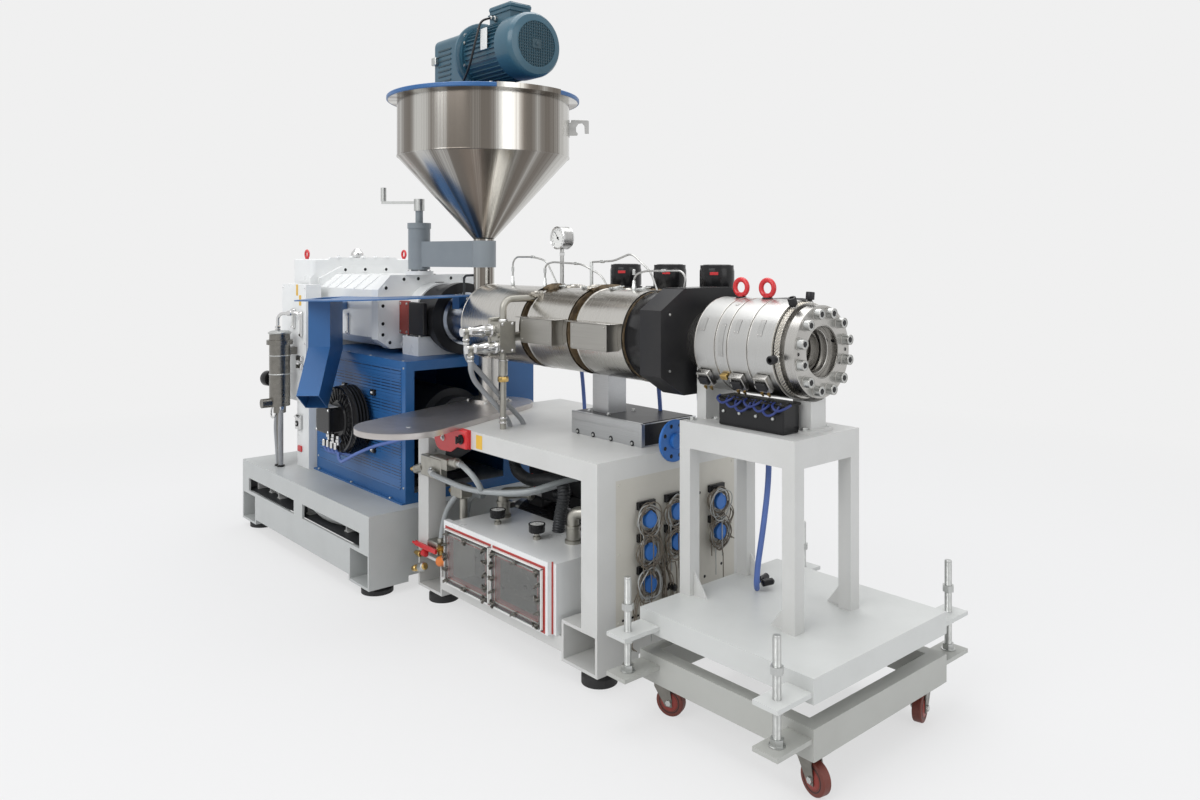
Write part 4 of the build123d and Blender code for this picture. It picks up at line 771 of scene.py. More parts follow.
# Thin instrument tubes over the barrel
instrument = [[(-0.049, -0.02, 1.44), (-0.049, -0.02, 1.555), (-0.02, -0.02, 1.579), (0.11, -0.02, 1.579),
    (0.186, 0.0, 1.562), (0.274, 0.0, 1.445)], [(0.201, -0.02, 1.4), (0.201, -0.02, 1.542),
    (0.253, -0.02, 1.556), (0.45, -0.01, 1.548), (0.56, 0.01, 1.5), (0.604, 0.02, 1.425)],
    [(0.504, 0.0, 1.557), (0.646, 0.0, 1.562), (0.757, 0.0, 1.595), (0.85, 0.02, 1.52),
    (0.88, 0.03, 1.436)], [(0.793, -0.02, 1.436), (0.793, -0.02, 1.505), (0.857, -0.02, 1.523),
    (1.06, -0.02, 1.525), (1.084, -0.02, 1.5), (1.074, -0.02, 1.459)], ]
tubeBits, nutBits, darkTube = [], [], []
for path in instrument:
    tubeBits.append(tube(path, 0.0042, 0.03, 10))
for x, y, z in ((-0.049, -0.02, 1.444), (0.201, -0.02, 1.44), (0.793, -0.02, 1.44)):
    nutBits.append(turned([(0.01, 0), (0.01, 0.018), (0.0075, 0.022), (0.0075, 0.038), (0.005, 0.044)],
        (x, y, z), upZ, 6))
    nutBits.append(turned(stub(0.0068, 0.02, 0.0045, 0.023), (x, y, z + 0.066), upZ, 12))
for x, z in ((0.105, 1.579), (0.42, 1.55), (0.575, 1.559), (0.96, 1.524)):
    nutBits.append(turned([(0.0045, -0.012), (0.0064, -0.01), (0.0064, 0.01), (0.0045, 0.012)],
        (x, -0.018 if x < 0.5 or x > 0.9 else 0.0, z), alongX, 12))
nutBits.append(turned(stub(0.0075, 0.12, 0.006, 0.125), (0.504, 0.0, 1.436), upZ, 12))
darkTube.append(tube([(-0.477, -0.02, 1.386), (-0.477, -0.02, 1.47), (-0.46, -0.02, 1.484),
    (-0.394, -0.02, 1.486)], 0.006, 0.02, 10))
makePiece("instrumentTubes", [(plainSteel, tubeBits), (zincSteel, nutBits), (darkGrey, darkTube)])
print("barrel trim built")

# Blower motors behind the barrel: domed cowls, terminal boxes, ribs, bare red plates
blowers = {"x": (0.45, 0.73, 1.0), "y": 0.252, "floor": 1.42, "radius": 0.068}
blowerY = blowers["y"]
floorZ = blowers["floor"]
cowls, plates, ribs = [], [], []
for x in blowers["x"]:
    r = blowers["radius"]
    cowls.append(turned([(r + 0.001, 0.03), (r + 0.003, 0.034), (r + 0.003, 0.1), (r - 0.001, 0.117),
        (r - 0.012, 0.1275), (r * 0.6, 0.1285), (0.01, 0.129)], (x, blowerY, floorZ), upZ, 44))
    cowls += slabs([((x - 0.106, blowerY - 0.05, floorZ - 0.052),
        (x - 0.05, blowerY + 0.01, floorZ + 0.032))], 0.004)
    for turn in turnsOf(14, 0):
        ribs.append(extruded(strip(0, 0.048, 0.0015), (x + r * cos(turn), blowerY + r * sin(turn),
            floorZ - 0.022), (-sin(turn), cos(turn), 0), upZ, 0.007))
    turn = radians(-58)
    out = (cos(turn), sin(turn), 0)
    plates.append(badge((x + (r + 0.0025) * cos(turn), blowerY + (r + 0.0025) * sin(turn), floorZ + 0.092),
        out, upZ, 0.034, 0.012, 0.002, 0.001))
makePiece("blowerCowls", [(glossBlack, cowls), (blackPaint, ribs), (redPaint, plates)])

# Die: plates and latches of the clamped bands, braided ring, outlet screws, terminal boxes below
dieTrim = {"radius": 0.17, "bands": ((1.265, 1.36), (1.362, 1.416), (1.418, 1.505), (1.507, 1.612)),
    "plates": ((1.297, 28, 0.02, 0.052), (1.389, 10, 0.022, 0.118), (1.452, 28, 0.02, 0.052),
    (1.553, 28, 0.022, 0.06)), "wireX": 1.617, "wireRadius": 0.1605, "bolts": 12, "circle": 0.132}


def onDie(x, degrees, radius=0.17):
    # a place on the bands, the angle measured up from the operator's side, with the way out of the surface
    a = radians(degrees)
    out = np.array([0, -cos(a), sin(a)])
    return np.array([x, 0, axisZ]) + radius * out, out, np.array([0, sin(a), cos(a)])


seams, plateBits, rivets, braid = ([] for k in range(4))
for start, end in dieTrim["bands"]:
    r = dieTrim["radius"]
    for x, way in ((start, 1), (end, -1)):
        seams.append(turned([(r - 0.002, 0), (r + 0.0008, 0.0004), (r + 0.001, 0.003), (r - 0.001, 0.004)],
            (x, 0, axisZ), (way, 0, 0), 96, closed=True))
for x, degrees, width, height in dieTrim["plates"]:
    a = np.radians(degrees) + np.linspace(-height / 2, height / 2, 9) / 0.1712
    outline = np.stack([np.full(9, 0.0), -np.cos(a), np.sin(a)], axis=1)
    rows = []
    for edge, lift in ((-0.5, 0.1705), (-0.5, 0.1714), (0.5, 0.1714), (0.5, 0.1705)):
        rows.append(np.array([x + edge * width, 0, axisZ]) + lift * outline)
    grid = np.array(rows + rows[:1]).transpose(1, 0, 2)[:, :4]
    plateBits.append(gridSolid(grid))
    for across in (-0.38, 0.38):
        for along in (-0.44, 0.44):
            place, out, up = onDie(x + across * width, degrees + np.degrees(along * height / 0.1712),
                0.1713)
            rivets.append(turned([(0.0022, 0), (0.0018, 0.001), (0.0008, 0.0014)], place, out, 10))
strands = np.linspace(0, 2 * pi, 361)
for lane in range(5):
    x = dieTrim["wireX"] + lane * 0.0042
    lift = dieTrim["wireRadius"] + 0.0014 * np.sin(90 * strands + lane * 2.1)
    path = np.stack([np.full(361, x) + 0.0012 * np.cos(90 * strands + lane * 2.1), lift * np.cos(strands),
        axisZ + lift * np.sin(strands)], axis=1)[:-1]
    p, t, n, b = pathFrames(np.vstack([path, path[:1]]))
    out = np.stack([np.zeros(len(p)), p[:, 1], p[:, 2] - axisZ], axis=1)
    out /= np.linalg.norm(out, axis=1)[:, None]
    braid.append(closedTube(p, out, np.cross(t, out), 0.0026, 6))
makePiece("dieBands", [(stainless, seams), (plainSteel, plateBits), (wornPlate, rivets),
    (braidSteel, braid)])

# Outlet of the die: washers, recessed screws, lip and bore, plugs, terminal boxes and their tips
outlet = {"face": 1.69, "washer": 0.0215, "lipRadius": 0.074,
    "holes": ((0, 0.132, 0.006), (90, 0.132, 0.006), (180, 0.132, 0.006), (270, 0.132, 0.006),
    (205, 0.106, 0.004), (335, 0.106, 0.004))}
flangeBits, holeBits, lipBits, keyBits, brassTips = ([] for k in range(5))
for turn in turnsOf(dieTrim["bolts"]):
    y, z = dieTrim["circle"] * cos(turn), axisZ + dieTrim["circle"] * sin(turn)
    flangeBits.append(ring((outlet["face"], y, z), alongX, 0.0182, outlet["washer"], 0.0025, 32))
    holeBits.append(turned([(0.0095, 0), (0.0095, 0.0006)], (outlet["face"] + 0.0242, y, z), alongX, 6))
    flangeBits.append(turned([(0.0158, 0), (0.0178, 0.0012), (0.018, 0.003), (0.0176, 0.0038),
        (0.0158, 0.004)], (outlet["face"] + 0.0212, y, z), alongX, 32, closed=True))
for degrees, radius, size in outlet["holes"]:
    place = roundAxis(outlet["face"], radius, radians(degrees))
    holeBits.append(disc(place, alongX, size, 0.0008, 20))
    flangeBits.append(ring(place, alongX, size, size + 0.0012, 0.001, 20))
r = outlet["lipRadius"]
lipBits.append(turned([(r - 0.0005, 0), (r - 0.0005, 0.01), (r - 0.006, 0.011), (r - 0.006, 0.026),
    (r - 0.014, 0.028), (r - 0.016, 0.0)], (1.602, 0, axisZ), alongX, 64, closed=True))
lipBits.append(turned([(0.0895, 0), (0.0895, 0.006), (0.0765, 0.006), (0.0748, 0.0045), (0.0748, 0)],
    (1.6525, 0, axisZ), alongX, 72, closed=True))
lipBits.append(turned([(0.0895, 0.0), (0.0895, 0.004), (0.0868, 0.0045), (0.0862, 0.0)], (1.684, 0, axisZ),
    alongX, 72, closed=True))
for degrees in (20, 140, 262):
    turn = radians(degrees)
    inward = (0, -cos(turn), -sin(turn))
    holeBits.append(disc(roundAxis(1.672, 0.0893, turn), inward, 0.0065, 0.001, 20))
    holeBits.append(disc(roundAxis(1.622, 0.068, turn), inward, 0.005, 0.001, 20))
lipBits.append(turned([(0.052, 0), (0.05, 0.004), (0.03, 0.007), (0.01, 0.008)], (1.5925, 0, axisZ), alongX,
    48))
for y, z in ((-0.069, 1.414), (0.134, 1.35), (-0.155, 1.246), (0.02, 1.432)):
    out = np.array([0, y, z - axisZ])
    out = out / np.linalg.norm(out)
    place = np.array([1.6255, 0, axisZ]) + 0.16 * out
    keyBits.append(turned([(0.0085, 0), (0.0085, 0.013), (0.0145, 0.013), (0.015, 0.015), (0.015, 0.037),
        (0.014, 0.039), (0.0085, 0.039), (0.008, 0.026)], place, out, 24))
    flangeBits.append(ring(place, out, 0.009, 0.0125, 0.008, 20))
for x, degrees in ((1.3, -38), (1.452, -38), (1.56, -36)):
    place, out, up = onDie(x, degrees, 0.1705)
    along = np.array([1.0, 0, 0])
    flangeBits.append(extruded(roundedRect(0.056, 0.062, 0.004), place, along, up, 0.024, 0.002))
    keyBits.append(extruded(roundedRect(0.044, 0.03, 0.003), place + 0.024 * out, along, up, 0.01, 0.002))
    flangeBits.append(tube([place + 0.02 * out - 0.02 * along - 0.03 * up,
        place + 0.036 * out - 0.02 * along, place + 0.02 * out - 0.02 * along + 0.03 * up], 0.0025, 0.012,
        8))
    for way in (-1, 1):
        brassTips.append(turned([(0.006, 0), (0.006, 0.006), (0.004, 0.008), (0.004, 0.014)],
            place + 0.024 * out + way * 0.014 * along - 0.031 * up, -up, 6))
place, out, up = onDie(1.389, -34, 0.1705)
brassTips.append(extruded(roundedRect(0.03, 0.02, 0.003), place, alongX, up, 0.016, 0.002))
flangeBits.append(disc(onDie(1.392, 62)[0], onDie(1.392, 62)[1], 0.009, 0.0014))
for x in (1.34, 1.46):
    keyBits.append(ring((x, 0, axisZ + 0.17), upZ, 0.0094, 0.019, 0.004, 24))
makePiece("dieDetails", [(machinedSteel, flangeBits), (glossBlack, holeBits), (machinedSteel, lipBits),
    (blackPaint, keyBits), (brass, brassTips)])

# Black box with blue leads under the die, partly a dark motor and partly painted shade under the die, and
# the stand's bolts
underDieBox = {"low": (1.35, -0.135, 0.9895), "high": (1.633, -0.048, 1.086), "leads": 7}
# partly painted shade: the black box fills the dark space on the stand between the die's supports
boxBits = slabs([(underDieBox["low"], underDieBox["high"])], 0.004)
boxBits += slabs([((1.344, -0.139, 1.083), (1.639, -0.044, 1.092))], 0.003)
leadBits, boltBits = [], []
for k in range(underDieBox["leads"]):
    x = 1.352 + 0.04 * k
    sag = 0.01 * (k % 3)
    leadBits.append(tube([(x, -0.128, 1.092), (x + 0.004, -0.152, 1.086 - sag),
        (x + 0.03, -0.158, 1.068 - sag), (x + 0.06, -0.152, 1.082 - sag), (x + 0.066, -0.128, 1.092)],
        0.0042, 0.02, 8))
for k in range(4):
    x = 1.375 + 0.072 * k
    boltBits.append(turned(stub(0.006, 0.005, 0.004, 0.007), (x, -0.135, 1.04), nearY, 12))
for x, y in ((1.27, -0.06), (1.228, -0.14), (1.2335, 0.125), (1.65, -0.042), (1.604, -0.042), (1.65, 0.064),
        (1.604, 0.064)):
    top = 0.999 if x > 1.58 else 0.989
    boltBits += screwHead((x, y, top), upZ, 0.011, 0.009)
    boltBits.append(ring((x, y, top), upZ, 0.004, 0.017, 0.0025, 20))
makePiece("underDieBoxAndShade", [(glossBlack, boxBits), (blueCable, leadBits), (zincSteel, boltBits)])

# End housing: top lip, cover screws, the fan's duct behind it, the black sleeve before it
housing = {"x": (1.069, 1.178), "screwY": (-0.205, 0.205), "screwZ": (1.165, 1.37),
    "duct": (1.275, 0.3, 1.33), "studs": (1.2505, 0.098)}
shell, bright, duct = [], [], []
for y in housing["screwY"]:
    for z in housing["screwZ"]:
        bright.append(turned(highDome, (housing["x"][1], y, z), alongX, 14))
        bright.append(turned(highDome, (housing["x"][0], y, z), backX, 14))
shell += slabs([((1.072, -0.13, 1.4605), (1.175, 0.13, 1.4635))], 0.001)
duct.append(extruded(roundedRect(0.25, 0.18, 0.085, 8), housing["duct"], (0, 1, 0), upZ, 0.09, 0.006))
duct.append(turned([(0.068, 0), (0.068, 0.11), (0.06, 0.118), (0.03, 0.12)], housing["duct"], alongX, 32))
for angle in (35, 145, 215, 325):
    bright.append(turned(stub(0.006, 0.012, 0.004, 0.015), roundAxis(*housing["studs"], radians(angle)),
        backX, 12))
shell.append(turned([(0.1, 0), (0.1735, 0.002), (0.176, 0.006), (0.176, 0.15), (0.17, 0.168), (0.1, 0.17)],
    (0.8985, 0, axisZ), alongX, 72))
makePiece("housingTrim", [(glossBlack, shell), (zincSteel, bright), (blackPaint, duct)])
print("die trim built")

# Hopper: band round the rim and its bare part, weld seams, hook and its plate, the lid's screws and bead
hopper = {"at": (-0.325, 0.0), "radius": 0.427, "coneTop": 2.074, "top": 2.361, "pipe": 0.052,
    "coneFloor": 1.668, "lid": 2.369, "rim": 0.474, "lidScrews": (-150, -96, -30, 12, 84, 150),
    "screwRadius": 0.452}
hx, hy = hopper["at"]
rimBits, seamBits, hookBits, lidBits = ([] for k in range(4))
r = hopper["radius"]
seamBits.append(turned([(r - 0.002, 0), (r + 0.0016, 0.001), (r + 0.0022, 0.004), (r + 0.0016, 0.007),
    (r - 0.002, 0.008)], (hx, hy, hopper["coneTop"] - 0.003), upZ, 120, closed=True))
for degrees in (-76, 104):
    turn = radians(degrees)
    out = (cos(turn), sin(turn), 0)
    seamBits.append(extruded(strip(0, 0.268, 0.002), (hx + (r - 0.0008) * out[0],
        hy + (r - 0.0008) * out[1], hopper["coneTop"] + 0.006), (-out[1], out[0], 0), upZ, 0.0018, 0.0005))
slope = np.array([r - hopper["pipe"], hopper["coneTop"] - hopper["coneFloor"]])
for degrees in (-70, 110):
    turn = radians(degrees)
    across = np.array([-sin(turn), cos(turn), 0])
    up = np.array([slope[0] * cos(turn), slope[0] * sin(turn), slope[1]])
    length = float(np.linalg.norm(up))
    foot = np.array([hx + hopper["pipe"] * cos(turn), hy + hopper["pipe"] * sin(turn), hopper["coneFloor"]])
    normal = np.cross(across, up / length)
    seamBits.append(extruded(strip(0.02, length - 0.012, 0.0018), foot - 0.0006 * normal, across, up,
        0.0016, 0.0004))
rim = hopper["rim"]
rimBits.append(turned([(rim + 0.0005, -0.012), (rim + 0.0035, -0.009), (rim + 0.0035, 0.005),
    (rim + 0.0005, 0.008), (rim - 0.004, 0.0088), (rim - 0.004, -0.0125)], (hx, hy, hopper["top"]), upZ,
    120, closed=True))
turn = radians(49)
out = np.array([cos(turn), sin(turn), 0])
side = np.array([-sin(turn), cos(turn), 0])
root = np.array([hx, hy, 2.186]) + (r - 0.001) * out
hookOutline = [(0, 0), (0.04, 0), (0.044, 0.004), (0.044, 0.012), (0.036, 0.02), (0.036, 0.042),
    (0.048, 0.06), (0.066, 0.062), (0.078, 0.05), (0.08, 0.01), (0.1, 0.01), (0.1, 0.072), (0.094, 0.078),
    (0.012, 0.078), (0.01, 0.066), (0, 0.06)]
hookBits.append(extruded(hookOutline, root - 0.004 * side, out, upZ, 0.008, 0.001))
hookBits.append(badge(root + np.array([0, 0, 0.035]), out, upZ, 0.04, 0.086, 0.003, 0.003))
for turn in np.radians(hopper["lidScrews"]):
    place = (hx + hopper["screwRadius"] * cos(turn), hy + hopper["screwRadius"] * sin(turn), hopper["lid"])
    lidBits += screwHead(place, upZ, 0.008, 0.006)
lidBits.append(ring((hx + 0.04, hy, hopper["lid"]), upZ, 0.405, 0.412, 0.003, 90))
bareRim = [arcBar((hx, hy, 2.3478), upZ, 0.471, 0.4785, 63, 105, 0.0232, 30)]
makePiece("hopperTrim", [(hopperSteel, seamBits), (bluePaint, rimBits), (hopperSteel, bareRim),
    (plainSteel, hookBits), (zincSteel, lidBits)], "hopper_arm")

# Feeder motor: fins, cowl with a grille, box lid and gland, gear unit's bolts
feeder = {"axis": (0.0, 2.571), "flange": -0.295, "radius": 0.137, "fins": 40, "grilleX": 0.1085}
fy, fz = feeder["axis"]
finBits, cowlBits, grilleBits, nutBits, cableBits, plateBits, whiteBits = ([] for k in range(7))
for turn in turnsOf(feeder["fins"]):
    if abs((turn - pi / 2 + pi) % (2 * pi) - pi) < 0.52:
        continue
    out = np.array([0, cos(turn), sin(turn)])
    side = np.array([0, -sin(turn), cos(turn)])
    place = np.array([-0.285, fy, fz]) + (feeder["radius"] - 0.001) * out - 0.0016 * side
    finBits.append(extruded([(0.0, 0.0), (0.262, 0.0), (0.262, 0.011), (0.25, 0.013), (0.012, 0.013),
        (0.0, 0.011)], place, alongX, out, 0.0032, 0.0008))
r = feeder["radius"]
cowl = [(r + 0.012, -0.01), (r + 0.016, -0.006), (r + 0.016, 0.088), (r + 0.012, 0.104), (r + 0.002, 0.116),
    (r - 0.02, 0.122), (r - 0.03, 0.123), (r - 0.03, 0.118), (0.02, 0.118)]
cowlBits.append(turned(cowl, (-0.01, fy, fz), alongX, 64))
cowlBits.append(turned([(0.12, 0), (0.168, 0), (0.174, 0.004), (0.174, 0.018), (0.168, 0.022),
    (0.15, 0.024), (0.14, 0.034), (0.12, 0.036)], (-0.33, fy, fz), alongX, 72))
for step in range(-7, 8):
    c = step * 0.0135
    reach = ((r - 0.031) ** 2 - c ** 2) ** 0.5
    bar = strip(-0.0017, 0.0017, reach)
    grilleBits.append(extruded(bar, (feeder["grilleX"], fy, fz + c), (0, 1, 0), upZ, 0.004, 0.0006))
    grilleBits.append(extruded(bar, (feeder["grilleX"], fy + c, fz), (0, 0, -1), (0, 1, 0), 0.0042, 0.0006))
grilleBits.append(badge((0.1095, fy, fz), alongX, upZ, 0.048, 0.044, 0.0055, 0.004))
grilleBits.append(turned(stub(0.008, 0.004, 0.004, 0.006), (0.115, fy, fz), alongX, 16))
for turn in turnsOf(8):
    place = (feeder["flange"], fy + 0.144 * cos(turn), fz + 0.144 * sin(turn))
    nutBits += screwHead(place, alongX, 0.007, 0.007)
cowlBits += slabs([((-0.19, -0.065, 2.762), (-0.01, 0.065, 2.785))], 0.006)
cowlBits += slabs([((-0.192, -0.067, 2.745), (-0.008, 0.067, 2.75))], 0.001)
nutBits += [s for x in (-0.178, -0.022) for y in (-0.053, 0.053) for s in screwHead((x, y, 2.785), upZ,
    0.005, 0.0009, "cap")]
whiteBits.append(badge((-0.105, -0.148, 2.61), nearY, upZ, 0.055, 0.1, 0.002, 0.003))
plateBits.append(turned([(0.014, 0), (0.014, 0.014), (0.011, 0.018), (0.011, 0.034), (0.008, 0.038)],
    (-0.128, -0.06, 2.722), nearY, 8))
cableBits.append(tube([(-0.128, -0.096, 2.722), (-0.128, -0.15, 2.7), (-0.135, -0.176, 2.6),
    (-0.18, -0.18, 2.48), (-0.29, -0.165, 2.392), (-0.42, -0.15, 2.381), (-0.56, -0.135, 2.381)], 0.0055,
    0.07, 10))
for x in (-0.59, -0.48, -0.37):
    nutBits += [s for y in (-0.128, 0.128) for s in screwHead((x, y, 2.394), upZ, 0.008, 0.007)]
for k in range(9):
    z = 2.415 + k * 0.026
    grilleBits += slabs([((-0.598, -0.112, z), (-0.5945, 0.112, z + 0.01))], 0.0008)
    grilleBits += slabs([((-0.56, -0.1235, z), (-0.44, -0.1198, z + 0.009))], 0.0008)
plateBits += slabs([((-0.6, -0.14, 2.56), (-0.56, -0.119, 2.6))], 0.003)
eyeRing = [(cos(t), sin(t)) for t in np.linspace(0, 2 * pi, 25)]
plateBits.append(tube([(-0.31, -0.118 + 0.011 * c, 2.664 + 0.011 * s) for c, s in eyeRing], 0.0035, 0, 8))
makePiece("feederTrim", [(tealPaint, finBits), (tealPaint, cowlBits), (tealDark, grilleBits),
    (zincSteel, nutBits), (blackPaint, cableBits), (zincSteel, plateBits), (dialWhite, whiteBits)],
    "hopper_arm")
print("hopper trim built")

# Motor enclosure: cover screws, the finned fan with its box and fittings, four short hoses and a long one
room = {"foot": (-1.38, -0.98, -0.558), "lid": (-1.05, -0.8, -0.46), "posts": (-1.412, -0.443),
    "side": -0.385, "fan": (-0.9, 0.746)}
fanX, fanZ = room["fan"]
headBits, finBits, boxBits, fittingBits, hoseBits, paleBits = ([] for k in range(6))
for x in room["foot"]:
    headBits += screwHead((x, -0.395, 0.392), upZ, 0.007, 0.006)
for x in room["lid"]:
    headBits += screwHead((x, -0.376, 1.073), upZ, 0.006, 0.004)
for x in room["posts"]:
    for z in (0.46, 0.76, 1.04):
        headBits.append(turned([(0.006, 0), (0.0052, 0.0025), (0.003, 0.0035)], (x, room["side"], z), nearY,
            14))
for k in range(9):
    finBits.append(arcBar((fanX, -0.408 - 0.0095 * k, fanZ), nearY, 0.168, 0.181, 200, 350, 0.0042))
for turn in turnsOf(28, 0):
    ray = np.array([cos(turn), 0, sin(turn)])
    finBits.append(extruded(strip(0.1, 0.158, 0.0022, 0.0016), (fanX, -0.5025, fanZ), np.cross(ray, nearY),
        ray, 0.006, 0.0008))
finBits.append(ring((fanX, -0.503, fanZ), nearY, 0.158, 0.17, 0.005, 64))
finBits.append(turned([(0.098, 0), (0.098, 0.006), (0.09, 0.012), (0.03, 0.015)], (fanX, -0.503, fanZ),
    nearY, 48))
boxBits += slabs([((-1.01, -0.566, 0.688), (-0.868, -0.5, 0.806))], 0.005)
boxBits += slabs([((-1.016, -0.574, 0.682), (-0.862, -0.562, 0.812))], 0.004)
paleBits.append(badge((-0.939, -0.534, 0.8125), upZ, (0, 1, 0), 0.12, 0.052, 0.002, 0.003))
fittingBits += [s for x in (-1.006, -0.872) for z in (0.692, 0.802) for s in screwHead((x, -0.574, z),
    nearY, 0.006, 0.004)]
for x, z in ((-0.96, 0.64), (-0.905, 0.63), (-0.85, 0.628)):
    fittingBits.append(turned([(0.013, 0), (0.013, 0.016), (0.0165, 0.018), (0.0165, 0.03), (0.01, 0.034),
        (0.01, 0.046)], (x, -0.528, z + 0.044), (0, 0, -1), 6))
for k, x in enumerate((-1.02, -0.975, -0.93, -0.885)):
    hoseBits.append(tube([(x, -0.528, 0.6), (x + 0.008, -0.52, 0.575), (x + 0.03, -0.498, 0.56 + 0.006 * k),
        (x + 0.07, -0.468, 0.572)], 0.0075, 0.02, 10))
    fittingBits.append(turned(stub(0.0095, 0.03, 0.0078, 0.034), (x, -0.528, 0.598), upZ, 12))
hoseBits.append(tube([(-0.85, -0.528, 0.59), (-0.846, -0.53, 0.56), (-0.81, -0.53, 0.545),
    (-0.7, -0.515, 0.6), (-0.56, -0.48, 0.66), (-0.42, -0.43, 0.7), (-0.3, -0.4, 0.745),
    (-0.262, -0.395, 0.79), (-0.258, -0.392, 0.834)], 0.0085, 0.06, 12))
# Slats: a saw line whose teeth lean out by the depth, run along the panel, with dark strips of painted shade
# under them
louvre = {"x": (-1.392, -0.462), "z": (0.452, 1.036), "pitch": 0.0146, "depth": 0.0042, "slots": 9}
slatBits, slotShadeBits = [], []
(startX, endX), (low, high), pitch = louvre["x"], louvre["z"], louvre["pitch"]
rows = int((high - low) / pitch)
saw = [(0.0, low)]
for k in range(rows):
    foot = low + k * pitch
    saw += [(0.0008, foot + 0.0045), (louvre["depth"], foot + 0.006), (0.0012, foot + 0.0138)]
saw.append((0.0, low + rows * pitch))
cell = (endX - startX) / louvre["slots"]
for way in (-1, 1):
    face = way * abs(room["side"])
    slatBits.append(extruded(saw, (startX if way > 0 else endX, face, 0), (0, way, 0), upZ, endX - startX))
    for k in range(rows):
        foot = low + k * pitch
        for n in range(louvre["slots"]):
            x0 = startX + n * cell + 0.006
            # painted shade in the gap under each slat
            slotShadeBits += slabs([((x0, face, foot + 0.0002),
                (x0 + cell - 0.012, face + way * 0.0026, foot + 0.0064))], 0.0004)
for x, z in ((-0.738, 0.892), (-0.738, 0.602), (-1.06, 0.892)):
    boxBits += slabs([((x - 0.02, -0.403, z - 0.016), (x + 0.02, -0.385, z + 0.016))], 0.003)
    fittingBits += screwHead((x, -0.403, z), nearY, 0.008, 0.007)
makePiece("louvres", [(bluePaint, slatBits), (blueShade, slotShadeBits)], smooth=20)
makePiece("enclosureTrim", [(zincSteel, headBits), (glossBlack, finBits), (glossBlack, boxBits),
    (chromeSteel, fittingBits), (blueHose, hoseBits), (dialWhite, paleBits)])

# Oil cabinet and filter: bare plates, fittings, the bent chrome pipe, the dial and two grey hoses
oil = {"axis": (-1.63, -0.52), "radius": 0.057, "floor": 0.8, "top": 1.12, "front": -0.429}
ox, oy = oil["axis"]
cabinetY = oil["front"]
ringBits, chromeBits, darkBits, hoseBits, redBits, yellowBits, glassBits = ([] for k in range(7))
for share in (0.34, 0.67):
    ringBits.append(ring((ox, oy, oil["floor"] + share * (oil["top"] - oil["floor"])), upZ,
        oil["radius"] - 0.001, oil["radius"] + 0.0022, 0.006, 48))
ringBits.append(turned([(0.02, 0), (0.06, 0), (0.064, 0.004), (0.064, 0.01), (0.05, 0.018), (0.02, 0.02)],
    (ox, oy, 1.139), upZ, 48))
chromeBits.append(tube([(ox - 0.028, oy, 1.15), (ox - 0.028, oy, 1.232), (ox - 0.01, oy + 0.01, 1.252),
    (ox + 0.075, oy + 0.058, 1.262), (ox + 0.096, oy + 0.074, 1.252), (ox + 0.096, oy + 0.085, 1.2)],
    0.0095, 0.02, 14))
for z in (1.154, 1.17):
    chromeBits.append(turned(stub(0.017, 0.01, 0.014, 0.013), (ox - 0.028, oy, z), upZ, 6))
chromeBits.append(turned(collar(0.0145, 0.0155, 0.004, 0.026, 0.0105, 0.032),
    (ox + 0.03, oy + 0.034, 1.256), (0.86, 0.5, 0.06), 18))
chromeBits.append(badge((ox + 0.097, cabinetY, 1.196), nearY, upZ, 0.034, 0.15, 0.016, 0.014))
glassBits.append(badge((ox + 0.097, cabinetY - 0.016, 1.196), nearY, upZ, 0.016, 0.112, 0.003, 0.006))
darkBits.append(turned([(0.034, 0), (0.042, 0.004), (0.044, 0.014), (0.044, 0.044), (0.04, 0.052),
    (0.036, 0.05)], (ox - 0.112, oy - 0.004, 0.872), (-1, -0.25, 0), 32))
glassBits.append(disc((ox - 0.158, oy - 0.0155, 0.872), (-1, -0.25, 0), 0.036, 0.004, 32))
chromeBits.append(tube([(ox - 0.114, oy, 0.866), (ox - 0.1, oy, 0.8), (ox - 0.09, oy, 0.752),
    (ox - 0.055, oy, 0.742), (ox - 0.02, oy, 0.76)], 0.013, 0.03, 12))
for place, way in (((ox - 0.104, oy, 0.822), (0.2, 0, -1)), ((ox - 0.094, oy, 0.776), (0.2, 0, -1)),
        ((ox - 0.06, oy, 0.742), (1, 0, 0.1))):
    chromeBits.append(turned(collar(0.016, 0.0205, 0.003, 0.02, 0.016, 0.023), place, way, 8))
chromeBits.append(tube([(ox - 0.06, oy - 0.014, 0.738), (ox - 0.075, oy - 0.022, 0.69),
    (ox - 0.058, oy - 0.026, 0.655), (ox - 0.024, oy - 0.022, 0.66), (ox - 0.014, oy - 0.014, 0.7)], 0.0055,
    0.02, 10))
for k, (shift, sway) in enumerate(((-0.024, -0.006), (0.026, 0.008))):
    path = [(ox + shift, oy, 0.73), (ox + shift, oy - 0.004, 0.69), (ox + shift + sway, oy - 0.01, 0.61),
        (ox + shift * 0.6 + sway, oy - 0.006, 0.5), (ox + shift * 0.7, oy, 0.386)]
    hoseBits.append(tube(path, 0.0135, 0.08, 14))
    chromeBits.append(turned(stub(0.0165, 0.026, 0.0142, 0.03), (ox + shift, oy, 0.738), (0, 0, -1), 6))
for shift in (0.018, -0.017):
    darkBits.append(turned([(0.0135, 0), (0.021, 0), (0.022, 0.008), (0.0135, 0.01)],
        (ox + shift, oy, 0.3845), upZ, 24))
for z in (1.0, 0.955):
    chromeBits.append(badge((-1.545, cabinetY, z), nearY, upZ, 0.07, 0.032, 0.02, 0.004))
chromeBits.append(badge((-1.556, cabinetY, 0.635), nearY, upZ, 0.064, 0.088, 0.022, 0.006))
chromeBits.append(tube([(-1.592, -0.446, 0.664), (-1.556, -0.452, 0.674), (-1.52, -0.446, 0.668)], 0.008,
    0.01, 10))
darkBits.append(disc((-1.556, cabinetY - 0.022, 0.628), nearY, 0.017, 0.004, 24))
glassBits.append(disc((-1.556, cabinetY - 0.026, 0.628), nearY, 0.007, 0.002, 16))
